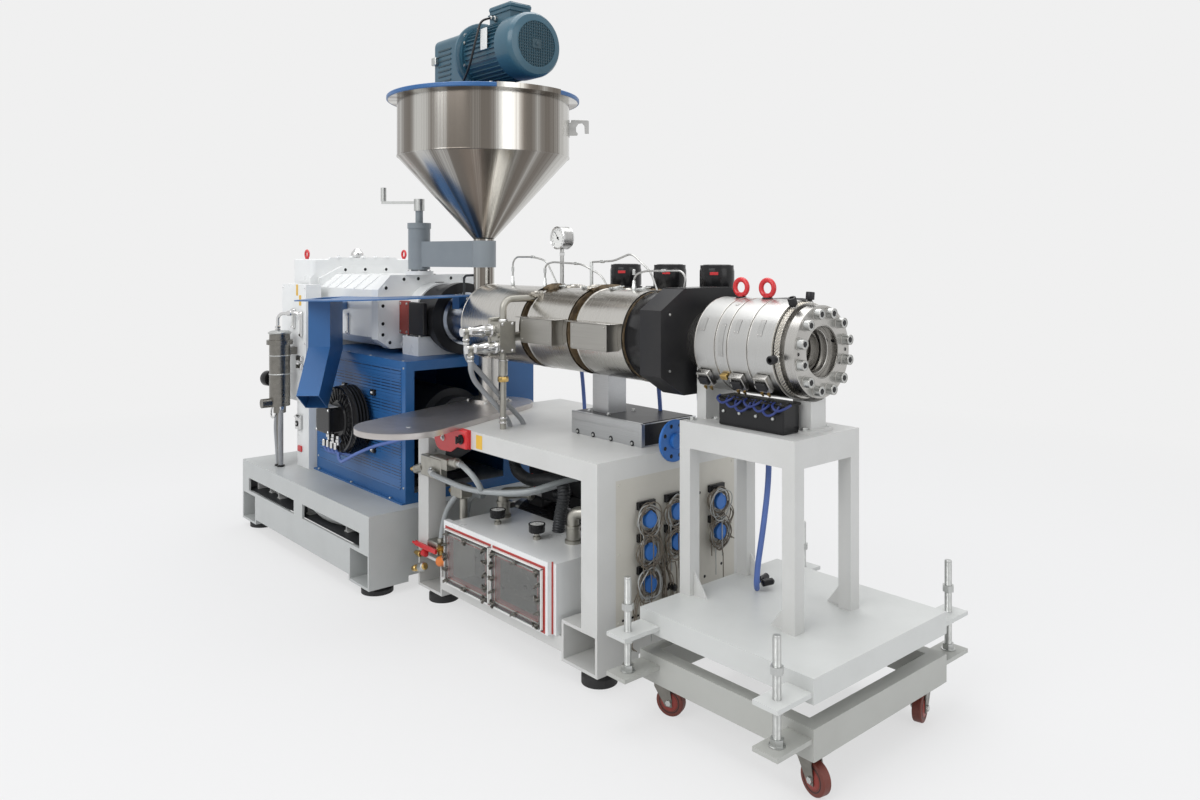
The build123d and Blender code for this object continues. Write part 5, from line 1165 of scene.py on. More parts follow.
redBits += slabs([((-1.58, -0.438, 0.466), (-1.528, -0.4285, 0.5))], 0.003)
yellowBits.append(badge((-1.56, cabinetY, 1.33), nearY, upZ, 0.03, 0.06, 0.001, 0.003))
for x in (-1.806, -1.494):
    for z in (0.77, 1.085, 1.4):
        chromeBits.append(turned(lowDome, (x, cabinetY, z), nearY, 12))
makePiece("oilTrim", [(zincSteel, ringBits), (chromeSteel, chromeBits), (glossBlack, darkBits),
    (greyHose, hoseBits), (redPaint, redBits), (yellowPaint, yellowBits), (dialWhite, glassBits)])
print("enclosure and oil trim built")

# Tank front: wing nuts on studs round both panes, the panes' edges, the gasket seen edge on, dark liner
# behind them, the strip that closes the front beside the plate, spouts and gauges on the roof
tank = {"panes": ((0.066, 0.4), (0.42, 0.754)), "z": (0.165, 0.395), "front": -0.469, "inset": 0.015,
    "gasketX": (0.064, 0.756), "lap": 0.025, "lip": 0.009, "roof": 0.42,
    "spouts": ((0.15, -0.215, 0.105), (0.64, -0.215, 0.12)), "gauges": ((0.229, -0.3), (0.509, -0.3))}


def wingNut(at, out, lean):
    # a threaded stud, a round nut and two ears whose outlines are half ellipses
    u, v, w = axes(out)
    side = cos(lean) * u + sin(lean) * v
    t = np.linspace(0, pi, 9)
    ear = np.stack([0.006 + 0.0125 * np.sin(t), 0.01 - 0.0085 * np.cos(t)], axis=1)
    solids = [turned(stub(0.0034, 0.02, 0.0026, 0.022), at, out, 10),
        turned([(0.0088, 0), (0.0088, 0.002), (0.0068, 0.003), (0.006, 0.011), (0.005, 0.013)], at, out,
        16)]
    for way in (-1, 1):
        right = way * side
        solids.append(extruded(ear, np.asarray(at, float) - 0.0012 * np.cross(right, w), right, w, 0.0026,
            0.0006))
    return solids


roof = tank["roof"]
nutBits, edgeBits, pipeBits, rimBits, dialBits, redEdges = ([] for k in range(6))
low, high = tank["z"]
for start, end in tank["panes"]:
    drawn = tank["inset"]
    places = [(x, z) for z in (low + drawn, high - drawn) for x in (start + 0.022, (start + end) / 2,
        end - 0.022)]
    places += [(x, z) for x in (start + drawn, end - drawn) for z in (low + 0.062, (low + high) / 2,
        high - 0.062)]
    for k, (x, z) in enumerate(places):
        nutBits += wingNut((x, tank["front"], z), nearY, 0.7 + 1.9 * k + 3 * start)
    frameLine = [(start, low), (end, low), (end, high), (start, high)]
    for (x0, z0), (x1, z1) in zip(frameLine, frameLine[1:] + frameLine[:1]):
        edgeBits += slabs([((min(x0, x1) - 0.0022, -0.4702, min(z0, z1) - 0.0022),
            (max(x0, x1) + 0.0022, -0.459, max(z0, z1) + 0.0022))], 0.0006)
    # the gasket seen edge on: a lining of the opening and a rim outside the pane
    lap, lip = tank["lap"], tank["lip"]
    hole = (start + lap, end - lap, low + lap - 0.001, high - lap + 0.001)
    redEdges += slabs([((hole[0] - 0.002, -0.4585, hole[2]), (hole[0] + 0.005, -0.434, hole[3])),
        ((hole[1] - 0.003, -0.4585, hole[2]), (hole[1] + 0.002, -0.436, hole[3])),
        ((hole[0], -0.4585, hole[2] - 0.002), (hole[1], -0.434, hole[2] + 0.005)),
        ((hole[0], -0.4585, hole[3] - 0.003), (hole[1], -0.436, hole[3] + 0.002))], 0.0006)
    redEdges += slabs([((start - 0.003, -0.457, high + 0.002), (end + 0.003, -0.454, high + 0.002 + lip)),
        ((start - 0.003, -0.457, low - 0.002 - lip), (end + 0.003, -0.454, low - 0.002))], 0.0006)
insideBits = slabs([((0.046, -0.306, 0.155), (0.774, -0.3, 0.4155)),
    ((0.046, -0.43, 0.1545), (0.774, -0.3, 0.1575))], 0.001)
left, right = tank["gasketX"]
redEdges += slabs([((right, -0.457, low - 0.012), (right + lip, -0.454, high + 0.012)),
    ((left - lip, -0.457, low - 0.012), (left, -0.454, high + 0.012))], 0.0006)
redEdges += slabs([((0.78, -0.4365, 0.152), (0.784, -0.43, 0.425))], 0.0006)
closingBits = slabs([((0.7795, -0.4305, 0.1505), (0.7945, -0.4275, 0.4145))], 0.0006)
for x, y, lift in tank["spouts"]:
    pipeBits.append(turned([(0.034, 0), (0.034, 0.012), (0.028, 0.016), (0.028, 0.06), (0.031, 0.062),
        (0.031, 0.072)], (x, y, roof), upZ, 30))
    pipeBits.append(tube([(x, y, 0.48), (x, y, roof + lift), (x + 0.085, y + 0.045, roof + lift + 0.012),
        (x + 0.13, y + 0.068, roof + lift + 0.012)], 0.0255, 0.062, 22, 8))
    pipeBits.append(turned(collar(0.0265, 0.03, 0.002, 0.014, 0.0265, 0.016),
        (x + 0.112, y + 0.059, roof + lift + 0.012), (0.88, 0.47, 0), 30))
for x, y in tank["gauges"]:
    pipeBits.append(turned([(0.016, 0), (0.016, 0.012), (0.011, 0.014), (0.011, 0.026), (0.014, 0.028)],
        (x, y, roof), upZ, 8))
    rimBits.append(turned([(0.013, 0), (0.031, 0.002), (0.0335, 0.006), (0.0335, 0.03), (0.035, 0.031),
        (0.035, 0.036), (0.03, 0.037), (0.03, 0.033)], (x, y, 0.448), upZ, 40))
    dialBits.append(disc((x, y, 0.4805), upZ, 0.03, 0.0015, 36))
    for turn in np.radians(np.linspace(-130, 130, 9)):
        rimBits.append(extruded(strip(0.02, 0.026, 0.0007), (x, y, 0.4818), (cos(turn), -sin(turn), 0),
            (sin(turn), cos(turn), 0), 0.0006))
    rimBits.append(extruded(strip(-0.006, 0.022, 0.0011, 0.0004), (x, y, 0.4818), (0.6, -0.8, 0),
        (0.8, 0.6, 0), 0.001))
makePiece("tankTrim", [(darkSteel, nutBits), (redRubber, redEdges), (darkSteel, insideBits),
    (whitePaint, closingBits), (paneEdge, edgeBits), (pipeSteel, pipeBits), (glossBlack, rimBits),
    (dialWhite, dialBits)])

# Bay over the tank: red cover with its switch, manifold block, brass nipples, hoses, pumps
bay = {"coverY": -0.42, "hose": 0.0125, "pumpY": 0.13, "pumps": ((-0.12, 0.17, 0.3), (0.27, 0.6, 0.3)),
    "pumpFins": 26}
redBits, knobBits, boltBits, yellowBits, blockBits, brassBits = ([] for k in range(6))
hoseBits, darkHose, pumpBits, steelBits, orangeBits = ([] for k in range(5))
turns = np.linspace(radians(90), radians(270), 13)
nose = [(-0.03 + 0.058 * cos(t), 0.776 + 0.058 * sin(t)) for t in turns]
outline = nose + [(0.05, 0.722), (0.11, 0.756), (0.203, 0.756), (0.203, 0.838), (0.06, 0.838)]
redBits.append(extruded(outline, (0, bay["coverY"], 0), alongX, upZ, 0.007, 0.001))
redBits += slabs([((0.122, -0.446, 0.757), (0.202, -0.4265, 0.836))], 0.004)
knobBits.append(turned([(0.021, 0), (0.021, 0.006), (0.015, 0.009), (0.014, 0.022), (0.01, 0.024)],
    (0.166, -0.446, 0.797), nearY, 28))
knobBits += slabs([((0.161, -0.474, 0.78), (0.171, -0.468, 0.814))], 0.002)
boltBits.append(ring((-0.012, -0.4275, 0.776), nearY, 0.006, 0.014, 0.003, 24))
boltBits += screwHead((-0.012, -0.4305, 0.776), nearY, 0.008, 0.007)
yellowBits.append(badge((0.265, bay["coverY"], 0.796), nearY, upZ, 0.046, 0.058, 0.0012, 0.003))
knobBits += slabs([((-0.151, -0.41, 0.762), (-0.1485, -0.372, 0.779))], 0.001)
boltBits.append(disc((-0.1495, -0.385, 0.69), alongX, 0.008, 0.003, 16))
blockBits += slabs([((-0.165, -0.452, 0.588), (0.008, -0.418, 0.682)),
    ((-0.09, -0.4495, 0.64), (0.05, -0.396, 0.69))], 0.003)
blockBits.append(turned([(0.021, 0), (0.021, 0.03), (0.018, 0.034), (0.018, 0.06), (0.021, 0.062),
    (0.021, 0.074)], (-0.16, -0.437, 0.622), (-0.85, 0, -0.28), 8))
brassBits.append(turned([(0.014, 0), (0.0165, 0.004), (0.0165, 0.018), (0.0115, 0.022), (0.0125, 0.03),
    (0.0105, 0.036), (0.0115, 0.042), (0.008, 0.052)], (-0.222, -0.437, 0.602), (-0.92, 0, -0.16), 20))
blockBits.append(turned([(0.019, 0), (0.019, 0.026), (0.022, 0.028), (0.022, 0.052), (0.016, 0.056),
    (0.016, 0.07)], (0.045, -0.424, 0.676), (1, 0, 0.08), 20))
boltBits.append(turned(stub(0.017, 0.012, 0.012, 0.016), (-0.06, -0.452, 0.626), nearY, 6))
hoses = (((-0.06, -0.464, 0.625), (-0.02, -0.47, 0.615), (0.031, -0.44, 0.596), (0.133, -0.4, 0.57),
    (0.26, -0.33, 0.566), (0.4, -0.26, 0.585), (0.47, -0.16, 0.622), (0.52, 0.02, 0.64)),
    ((0.112, -0.424, 0.68), (0.15, -0.424, 0.676), (0.205, -0.41, 0.64), (0.214, -0.38, 0.59),
    (0.18, -0.35, 0.556), (0.11, -0.33, 0.545), (0.02, -0.33, 0.54)),
    ((0.01, -0.345, 0.52), (-0.03, -0.35, 0.5), (-0.075, -0.365, 0.44), (-0.09, -0.38, 0.37),
    (-0.085, -0.39, 0.318), (-0.082, -0.396, 0.292)), ((-0.1, -0.25, 0.49), (0.084, -0.25, 0.521),
    (0.236, -0.24, 0.54), (0.36, -0.2, 0.565), (0.43, -0.1, 0.6)))
for path in hoses:
    hoseBits.append(tube(path, bay["hose"], 0.06, 14, 7))
for place, way in (((-0.05, -0.463, 0.622), (1, -0.15, -0.2)), ((0.112, -0.424, 0.68), alongX),
        ((-0.083, -0.393, 0.306), (0, 0, -1)), ((0.012, -0.345, 0.521), (-1, 0, -0.4))):
    boltBits.append(turned(collar(0.0135, 0.0158, 0.002, 0.016, 0.0135, 0.018), place, way, 20))
blockBits += slabs([((-0.06, -0.362, 0.496), (0.03, -0.298, 0.552))], 0.005)
brassBits.append(turned([(0.012, 0), (0.0175, 0.003), (0.0175, 0.026), (0.013, 0.03), (0.013, 0.046),
    (0.01, 0.05)], (-0.058, -0.33, 0.52), (-1, 0, -0.25), 8))
blockBits.append(turned([(0.018, 0), (0.018, 0.2), (0.021, 0.202), (0.021, 0.214)], (-0.005, -0.325, 0.29),
    upZ, 24))
pipeEnds = [(0.04, -0.25, 0.5), (-0.01, -0.255, 0.5), (-0.06, -0.262, 0.47), (-0.075, -0.265, 0.42),
    (-0.078, -0.268, 0.33)]
hoseBits.append(tube(pipeEnds, 0.017, 0.05, 16))
blockBits += slabs([((-0.15, -0.428, 0.236), (-0.064, -0.372, 0.292))], 0.004)
blockBits.append(turned(stub(0.016, 0.016, 0.013, 0.018), (-0.083, -0.396, 0.29), upZ, 16))
redBits.append(tube([(-0.15, -0.42, 0.24), (-0.2, -0.436, 0.25), (-0.246, -0.446, 0.262)], 0.0055, 0.02, 8))
brassBits.append(turned([(0.011, 0), (0.014, 0.003), (0.014, 0.02), (0.01, 0.024), (0.011, 0.032),
    (0.009, 0.05), (0.006, 0.054)], (-0.19, -0.436, 0.216), (-1, 0, -0.06), 16))
redBits.append(turned(collar(0.01, 0.017, 0.004, 0.026, 0.01, 0.032), (-0.15, -0.43, 0.228),
    (-0.9, 0, -0.1), 14))
brassBits.append(turned([(0.008, 0), (0.014, 0.004), (0.015, 0.026), (0.01, 0.03), (0.01, 0.042),
    (0.017, 0.046), (0.017, 0.074), (0.012, 0.078), (0.012, 0.092), (0.016, 0.094), (0.016, 0.108),
    (0.01, 0.112)], (-0.25, -0.44, 0.136), (0.94, 0, 0.33), 18))
boltBits.append(turned(collar(0.018, 0.021, 0.004, 0.038, 0.016, 0.042), (-0.19, -0.44, 0.157),
    (0.94, 0, 0.33), 8))
orangeBits.append(turned([(0.018, 0), (0.022, 0.003), (0.024, 0.02), (0.016, 0.046), (0.012, 0.06)],
    (-0.03, -0.436, 0.222), (0.94, 0.1, 0.33), 16))
darkHose.append(ribbed([(0.01, -0.06, 0.66), (0.04, -0.07, 0.585), (0.15, -0.08, 0.56), (0.342, -0.09, 0.6),
    (0.44, -0.11, 0.612), (0.492, -0.14, 0.575), (0.49, -0.16, 0.5), (0.486, -0.17, 0.42)], 0.026, 0.011,
    0.0016, 0.07, 16))
darkHose.append(ribbed([(0.15, 0.02, 0.534), (0.24, 0.04, 0.556), (0.3, 0.05, 0.54), (0.29, 0.05, 0.5),
    (0.2, 0.04, 0.486)], 0.02, 0.011, 0.0014, 0.05, 14))
redBits.append(turned(collar(0.01, 0.022, 0.004, 0.06, 0.014, 0.066), (0.06, 0.0, 0.545), (0.9, 0, -0.3),
    18))
for x0, x1, z in bay["pumps"]:
    pumpBits.append(turned([(0.06, 0), (0.092, 0.01), (0.096, 0.024), (0.096, x1 - x0 - 0.03),
        (0.086, x1 - x0 - 0.01), (0.03, x1 - x0)], (x0, bay["pumpY"], z), alongX, 44))
    for turn in turnsOf(bay["pumpFins"], 0):
        ray = np.array([0, cos(turn), sin(turn)])
        pumpBits.append(extruded([(0.03, 0.094), (x1 - x0 - 0.04, 0.094), (x1 - x0 - 0.05, 0.108),
            (0.04, 0.108)], np.array([x0, bay["pumpY"], z]) - 0.0015 * np.cross(alongX, ray), alongX, ray,
            0.003))
    pumpBits += slabs([((x0 + 0.05, 0.06, 0.152), (x1 - 0.05, 0.2, 0.216)),
        ((x0 + 0.08, 0.06, z + 0.088), (x1 - 0.09, 0.19, z + 0.14))], 0.008)
    steelBits.append(turned([(0.03, 0), (0.078, 0.004), (0.08, 0.016), (0.08, 0.05), (0.05, 0.062),
        (0.036, 0.07)], (x0 - 0.001, bay["pumpY"], z), backX, 40))
    steelBits += slabs([((x0 - 0.075, 0.03, 0.216), (x0 - 0.03, 0.07, 0.38))], 0.006)
pumpBits.append(turned([(0.07, 0), (0.112, 0.012), (0.118, 0.03), (0.118, 0.42), (0.104, 0.446),
    (0.04, 0.46)], (-0.01, 0.15, 0.575), alongX, 48))
pumpBits += slabs([((0.06, 0.06, 0.43), (0.38, 0.25, 0.5)), ((0.1, 0.08, 0.68), (0.3, 0.22, 0.744)),
    ((0.56, 0.0, 0.44), (0.86, 0.33, 0.7)), ((0.61, -0.06, 0.5), (0.78, 0.01, 0.64))], 0.01)
for k in range(7):
    pumpBits += slabs([((0.58 + 0.04 * k, -0.012, 0.45), (0.588 + 0.04 * k, 0.001, 0.69))], 0.002)
makePiece("bayPipes", [(redPaint, redBits), (glossBlack, knobBits), (zincSteel, boltBits),
    (yellowPaint, yellowBits), (pipeSteel, blockBits), (brass, brassBits), (clearHose, hoseBits),
    (darkGrey, darkHose), (blackPaint, pumpBits), (plainSteel, steelBits), (orangePlastic, orangeBits)])
print("tank and bay trim built")

# Sockets: black bars above them, pale collars, coiled leads, the hanging bundle, holes of the panel
panelTrim = {"x": 1.025, "face": 1.059, "sockets": ((-0.182, 0.596), (-0.182, 0.476), (-0.182, 0.355),
    (-0.037, 0.6), (-0.037, 0.484), (0.212, 0.595), (0.212, 0.473)), "wire": 0.0022}
panelX = panelTrim["x"]
barBits, collarBits, leadBits, paleLeads, holeBits, faceBits = ([] for k in range(6))
for k, (y, z) in enumerate(panelTrim["sockets"]):
    barBits += slabs([((panelX, y - 0.0455, z + 0.0385), (panelX + 0.0135, y + 0.0455, z + 0.0675))],
        0.0015)
    collarBits.append(turned([(0.0302, 0), (0.038, 0.001), (0.04, 0.006), (0.038, 0.016), (0.0302, 0.018)],
        (panelX, y, z), alongX, 36, closed=True))
    faceBits.append(ring((panelTrim["face"], y, z), alongX, 0.0255, 0.0285, 0.0016, 32))
    faceBits += slabs([((panelTrim["face"] - 0.01, y - 0.007, z + 0.028),
        (panelTrim["face"] + 0.001, y + 0.007, z + 0.034))], 0.001)
    for lane in range(5):
        t = np.linspace(0, 2 * pi * 2.1, 72)
        wobble = 0.007 * np.sin(1.37 * t + 2.1 * k + 1.7 * lane) + 0.003 * np.sin(3.3 * t + k)
        r = 0.0385 + 0.0042 * lane + wobble
        shiftY, shiftZ = 0.006 * sin(2.3 * k + 1.9 * lane) - 0.006, 0.007 * cos(1.1 * k + 2.7 * lane)
        path = np.stack([panelX + 0.014 + 0.006 * lane + 0.005 * np.sin(1.7 * t + lane + k),
            y + shiftY + r * np.cos(t + lane), z + shiftZ + r * 1.06 * np.sin(t + lane)], axis=1)
        tail = path[-1] + np.array([[0.002, 0.006, -0.03], [0.0, 0.01, -0.08 - 0.02 * lane]])
        end = tube(np.vstack([path, tail]), panelTrim["wire"], 0, 6)
        (paleLeads if (lane + k) % 3 == 0 else leadBits).append(end)
bundles = (((-0.13, 0.56), (-0.112, 0.47), (-0.098, 0.4), (-0.105, 0.32), (-0.094, 0.24), (-0.1, 0.222)),
    ((-0.15, 0.44), (-0.108, 0.4), (-0.09, 0.35), (-0.098, 0.3), (-0.082, 0.25), (-0.03, 0.222)),
    ((-0.23, 0.33), (-0.252, 0.28), (-0.246, 0.235), (-0.262, 0.19), (-0.272, 0.14), (-0.255, 0.118)),
    ((-0.145, 0.33), (-0.1, 0.316), (-0.092, 0.27), (-0.104, 0.238), (-0.08, 0.224)),
    ((-0.06, 0.44), (-0.09, 0.4), (-0.06, 0.36), (-0.052, 0.3), (-0.056, 0.228)),
    ((0.01, 0.5), (0.03, 0.44), (0.0, 0.4), (-0.01, 0.33), (0.006, 0.23)),
    ((0.25, 0.6), (0.29, 0.56), (0.3, 0.53), (0.262, 0.48), (0.276, 0.44), (0.3, 0.426)),
    ((0.18, 0.44), (0.2, 0.4), (0.236, 0.404), (0.262, 0.44), (0.27, 0.5)))
for k, route in enumerate(bundles):
    for lane in range(3):
        path = [(panelX + 0.01 + 0.008 * lane, y + 0.006 * sin(k + 2.0 * lane + 3 * j),
            z + 0.004 * cos(j + lane)) for j, (y, z) in enumerate(route)]
        leadBits.append(tube(path, panelTrim["wire"], 0.03, 6))
for y, z in ((-0.07, 0.4), (-0.095, 0.404), (-0.06, 0.3), (0.15, 0.3), (0.25, 0.33), (0.12, 0.64)):
    holeBits.append(disc((panelX, y, z), alongX, 0.006, 0.0012, 16))
barBits += slabs([((panelX, -0.3, 0.236), (panelX + 0.004, -0.215, 0.243))], 0.001)
barBits.append(turned(collar(0.01, 0.014, 0.006, 0.032, 0.009, 0.036), (panelX, -0.05, 0.315), (1, 0, -0.2),
    18))
for y in (-0.315, 0.315):
    for z in (0.235, 0.485, 0.74):
        collarBits.append(turned(lowDome, (panelX, y, z), alongX, 12))
makePiece("socketTrim", [(glossBlack, barBits), (beigePaint, collarBits), (leadBrown, leadBits),
    (cableGrey, paleLeads), (blackPaint, holeBits), (bluePlastic, faceBits)])

# Blue hoses: hanging behind the barrel, through the stand, and the round blue disc at the frame's end
blueTrim = {"radius": 0.009, "x": (0.249, 0.507, 0.754, 1.0), "top": 1.1, "foot": 0.836, "behind": 0.15,
    "sway": (0.01, -0.034, 0.004, -0.06), "disc": (1.028, -0.026, 0.868), "discRadius": 0.082}
hoseBits, discBits, plugBits = [], [], []
y = blueTrim["behind"]
for x, sway in zip(blueTrim["x"], blueTrim["sway"]):
    hoseBits.append(tube([(x, y, blueTrim["top"]), (x + 0.3 * sway, y + 0.01, 1.02),
        (x + 0.2 * sway, y + 0.02, 0.93), (x + sway, y + 0.02, blueTrim["foot"])], blueTrim["radius"], 0.07,
        12, 7))
    plugBits.append(turned(collar(0.0095, 0.0125, 0.002, 0.022, 0.0095, 0.026),
        (x + sway, y + 0.02, blueTrim["foot"] - 0.001), upZ, 8))
hoseBits.append(tube([(1.42, 0.06, 0.986), (1.42, 0.06, 0.9), (1.424, 0.05, 0.76), (1.416, 0.03, 0.6),
    (1.4, 0.02, 0.47), (1.394, 0.02, 0.4), (1.38, 0.04, 0.376)], 0.0105, 0.12, 14, 7))
for y, lean in ((0.06, 0.3), (0.085, -0.2)):
    plugBits.append(turned(collar(0.006, 0.0125, 0.004, 0.044, 0.008, 0.05),
        (1.372 + lean * 0.05, y, 0.391), (lean, 1, 0.04), 16))
hoseBits.append(tube([(1.395, 0.02, 0.42), (1.378, 0.044, 0.396), (1.372, 0.062, 0.392)], 0.006, 0.02, 10))
bx, by, bz = blueTrim["disc"]
br = blueTrim["discRadius"]
discBits.append(turned([(br - 0.002, -0.006), (br, -0.004), (br, 0.004), (br - 0.002, 0.006),
    (0.03, 0.0062)], (bx, by, bz), alongX, 56))
for turn in turnsOf(8):
    plugBits.append(disc((bx + 0.0058, by + 0.062 * cos(turn), bz + 0.062 * sin(turn)), alongX, 0.008,
        0.0008, 18))
discBits.append(turned([(0.03, 0), (0.03, 0.01), (0.026, 0.013), (0.012, 0.013)], (bx + 0.006, by, bz),
    alongX, 32))
makePiece("blueHoses", [(blueHose, hoseBits), (bluePlastic, discBits), (glossBlack, plugBits)])

# Slide base: dark top, groove, end plate with its hole, notches with screws, bolts of the posts
slide = {"notches": (0.545, 0.645, 0.755, 0.88), "endX": 0.9325, "top": 0.9275,
    "bolts": ((0.56, -0.06), (0.68, -0.06), (0.56, 0.085), (0.68, 0.085))}
topBits, railBits, notchBits, silverBits = ([] for k in range(4))
topBits += slabs([((0.512, -0.098, 0.9245), (0.922, 0.19, 0.9275))], 0.001)
for z0, z1 in ((0.9, 0.925), (0.84, 0.893)):
    railBits += slabs([((0.506, -0.1125, z0), (0.926, -0.1095, z1))], 0.001)
railBits += slabs([((0.916, -0.1135, 0.835), (0.9335, -0.1085, 0.926)),
    ((0.9295, -0.112, 0.835), (0.934, -0.094, 0.926)), ((0.506, -0.112, 0.9245), (0.93, -0.098, 0.9285))],
    0.001)
topBits += slabs([((0.9295, -0.094, 0.84), (0.9325, 0.19, 0.922))], 0.001)
for x in slide["notches"]:
    notchBits.append(turned([(0.011, 0), (0.011, 0.0014)], (x, -0.1122, 0.846), nearY, 18))
    silverBits.append(turned([(0.0062, 0), (0.0055, 0.004), (0.003, 0.005)], (x, -0.113, 0.845), nearY, 12))
notchBits.append(disc((slide["endX"], -0.05, 0.872), alongX, 0.013, 0.001, 24))
notchBits.append(disc((slide["endX"], 0.08, 0.872), alongX, 0.007, 0.001, 20))
silverBits += slabs([((0.508, 0.02, 0.927), (0.556, 0.06, 0.95))], 0.003)
silverBits.append(turned([(0.012, 0), (0.012, 0.02), (0.016, 0.022), (0.016, 0.034), (0.008, 0.038)],
    (0.53, 0.04, 0.95), upZ, 16))
for x, y in slide["bolts"]:
    silverBits += screwHead((x, y, slide["top"]), upZ, 0.008, 0.007)
makePiece("slideTrim", [(blackPaint, topBits), (aluminium, railBits), (blackPaint, notchBits),
    (zincSteel, silverBits)])

# Rods of the trolley: thread ridges, cut tops, chamfered washers under the nuts
rods = {"x": (1.256, 1.878), "y": (-0.485, 0.485), "radius": 0.012, "pitch": 0.003, "ends": (0.168, 0.503),
    "washer": 0.1925, "tip": 0.5045}
threadBits, washerBits = [], []
heights = np.arange(rods["ends"][0] + 0.03, rods["ends"][1] - 0.004, rods["pitch"])
profile = []
for z in heights:
    profile += [(rods["radius"] - 0.0002, z), (rods["radius"] + 0.0006, z + rods["pitch"] * 0.45)]
profile = [(rods["radius"] - 0.001, heights[0] - 0.001)] + profile + [(rods["radius"] - 0.001,
    heights[-1] + 0.0035)]
for x in rods["x"]:
    for y in rods["y"]:
        threadBits.append(turned(profile, (x, y, 0), upZ, 20))
        washerBits.append(turned([(0.0125, 0), (0.0245, 0), (0.0245, 0.0022), (0.0225, 0.0034),
            (0.0125, 0.0034)], (x, y, rods["washer"]), upZ, 28, closed=True))
        threadBits.append(turned([(0.012, 0), (0.011, 0.0022), (0.0004, 0.0024)], (x, y, rods["tip"]), upZ,
            20))
makePiece("rodThreads", [(zincSteel, threadBits), (zincSteel, washerBits)], "lifting_frame")
print("sockets, hoses and slide trim built")

# Inside of the base's long slots: flat brackets, upright plates, coiled grey hoses, dark sheets round them
# as painted shade
baseTrim = {"deck": 0.214, "plates": ((-1.72, -0.54), (-1.56, -0.555), (-1.15, -0.56), (-0.73, -0.545)),
    "plate": (0.01, 0.05, 0.066)}
plateBits, coilBits = [], []
for x, y in baseTrim["plates"]:
    dx, dy, dz = baseTrim["plate"]
    plateBits += slabs([((x - dx / 2, y, baseTrim["deck"]), (x + dx / 2, y + dy, baseTrim["deck"] + dz)),
        ((x - 0.02, y, baseTrim["deck"]), (x + 0.02, y + dy, baseTrim["deck"] + 0.008))], 0.002)
plateBits += slabs([((-1.86, -0.56, 0.262), (-1.74, -0.48, 0.272)),
    ((-1.86, -0.56, 0.214), (-1.852, -0.48, 0.264))], 0.002)
upward = np.array([[0, 0, 1.0]])
for lane in range(7):
    t = np.linspace(0, 2 * pi, 60)
    r = 0.11 + 0.01 * lane
    path = np.stack([-0.95 + 1.55 * r * np.cos(t), -0.455 + 0.72 * r * np.sin(t),
        0.232 + 0.005 * lane + 0.006 * np.sin(2 * t + lane)], axis=1)
    path[-1] = path[0]
    p, t, n, b = pathFrames(path)
    coilBits.append(closedTube(p, np.cross(t, upward), upward, 0.0072, 8))
coilBits.append(tube([(-1.69, -0.5, 0.226), (-1.64, -0.53, 0.228), (-1.59, -0.52, 0.236),
    (-1.57, -0.48, 0.23), (-1.5, -0.44, 0.228)], 0.008, 0.03, 10))
# painted shade: dark back, floor and roof sheets that darken the inside seen through the slots
shadeBits = slabs([((-1.925, -0.335, 0.2145), (-0.372, -0.33, 0.368)),
    ((-1.925, -0.592, 0.2136), (-0.372, -0.335, 0.2158)),
    ((-1.925, -0.592, 0.366), (-0.372, -0.335, 0.3695))], 0.0005)
makePiece("baseInside", [(framePaint, plateBits), (cableGrey, coilBits), (darkGrey, shadeBits)])

# Castors: hub and groove of each wheel, nuts of its axle on the fork; the headings are those at rest
castor = {"x": (1.87, 1.264), "y": (-0.322, 0.322), "headings": (-11, -75, 20, 160), "trail": 0.028,
    "radius": 0.05, "half": 0.016, "forkOut": 0.023}
castorPlaces = [(x, y) for x in castor["x"] for y in castor["y"]]
for number, ((x, y), heading) in enumerate(zip(castorPlaces, castor["headings"]), start=1):
    along = np.array([cos(radians(heading)), sin(radians(heading)), 0])
    axle = np.array([-along[1], along[0], 0])
    middle = np.array([x, y, castor["radius"]]) + castor["trail"] * along
    hubs, grooves, capBits = [], [], []
    for way in (-1, 1):
        side = middle + way * (castor["half"] - 0.0006) * axle
        hubs.append(turned([(0.0085, 0), (0.03, 0), (0.029, 0.0016), (0.02, 0.0018), (0.018, 0.003),
            (0.0085, 0.003)], side, way * axle, 40, closed=True))
        grooves.append(ring(side, way * axle, 0.035, 0.0375, 0.0012, 48))
        outer = middle + way * castor["forkOut"] * axle
        capBits.append(turned([(0.0105, 0), (0.0105, 0.0055), (0.0085, 0.007), (0.004, 0.0072)], outer,
            way * axle, 6))
    makePiece(f"castorHub{number}", [(darkRed, hubs), (blackPaint, grooves)], f"caster_roller_{number}")
    makePiece(f"castorNuts{number}", [(zincSteel, capBits)], f"caster_swivel_{number}")
print("castors built")

# Heads on the worktop and the bolts of the support over it
support = {"worktop": 0.859, "heads": ((-0.38, -0.055), (-0.23, -0.055), (-0.38, 0.09), (-0.23, 0.09)),
    "plug": (0.06, -0.64, 0.859), "top": 1.386, "bolts": ((-0.425, -0.1), (-0.395, -0.085))}
boltBits = []
for x, y in support["heads"]:
    boltBits += screwHead((x, y, support["worktop"]), upZ, 0.009, 0.008)
boltBits.append(disc(support["plug"], upZ, 0.012, 0.0012, 24))
for x, y in support["bolts"]:
    boltBits += screwHead((x, y, support["top"]), upZ, 0.006, 0.005)
makePiece("supportBolts", [(zincSteel, boltBits)])
print("small fastenings built")

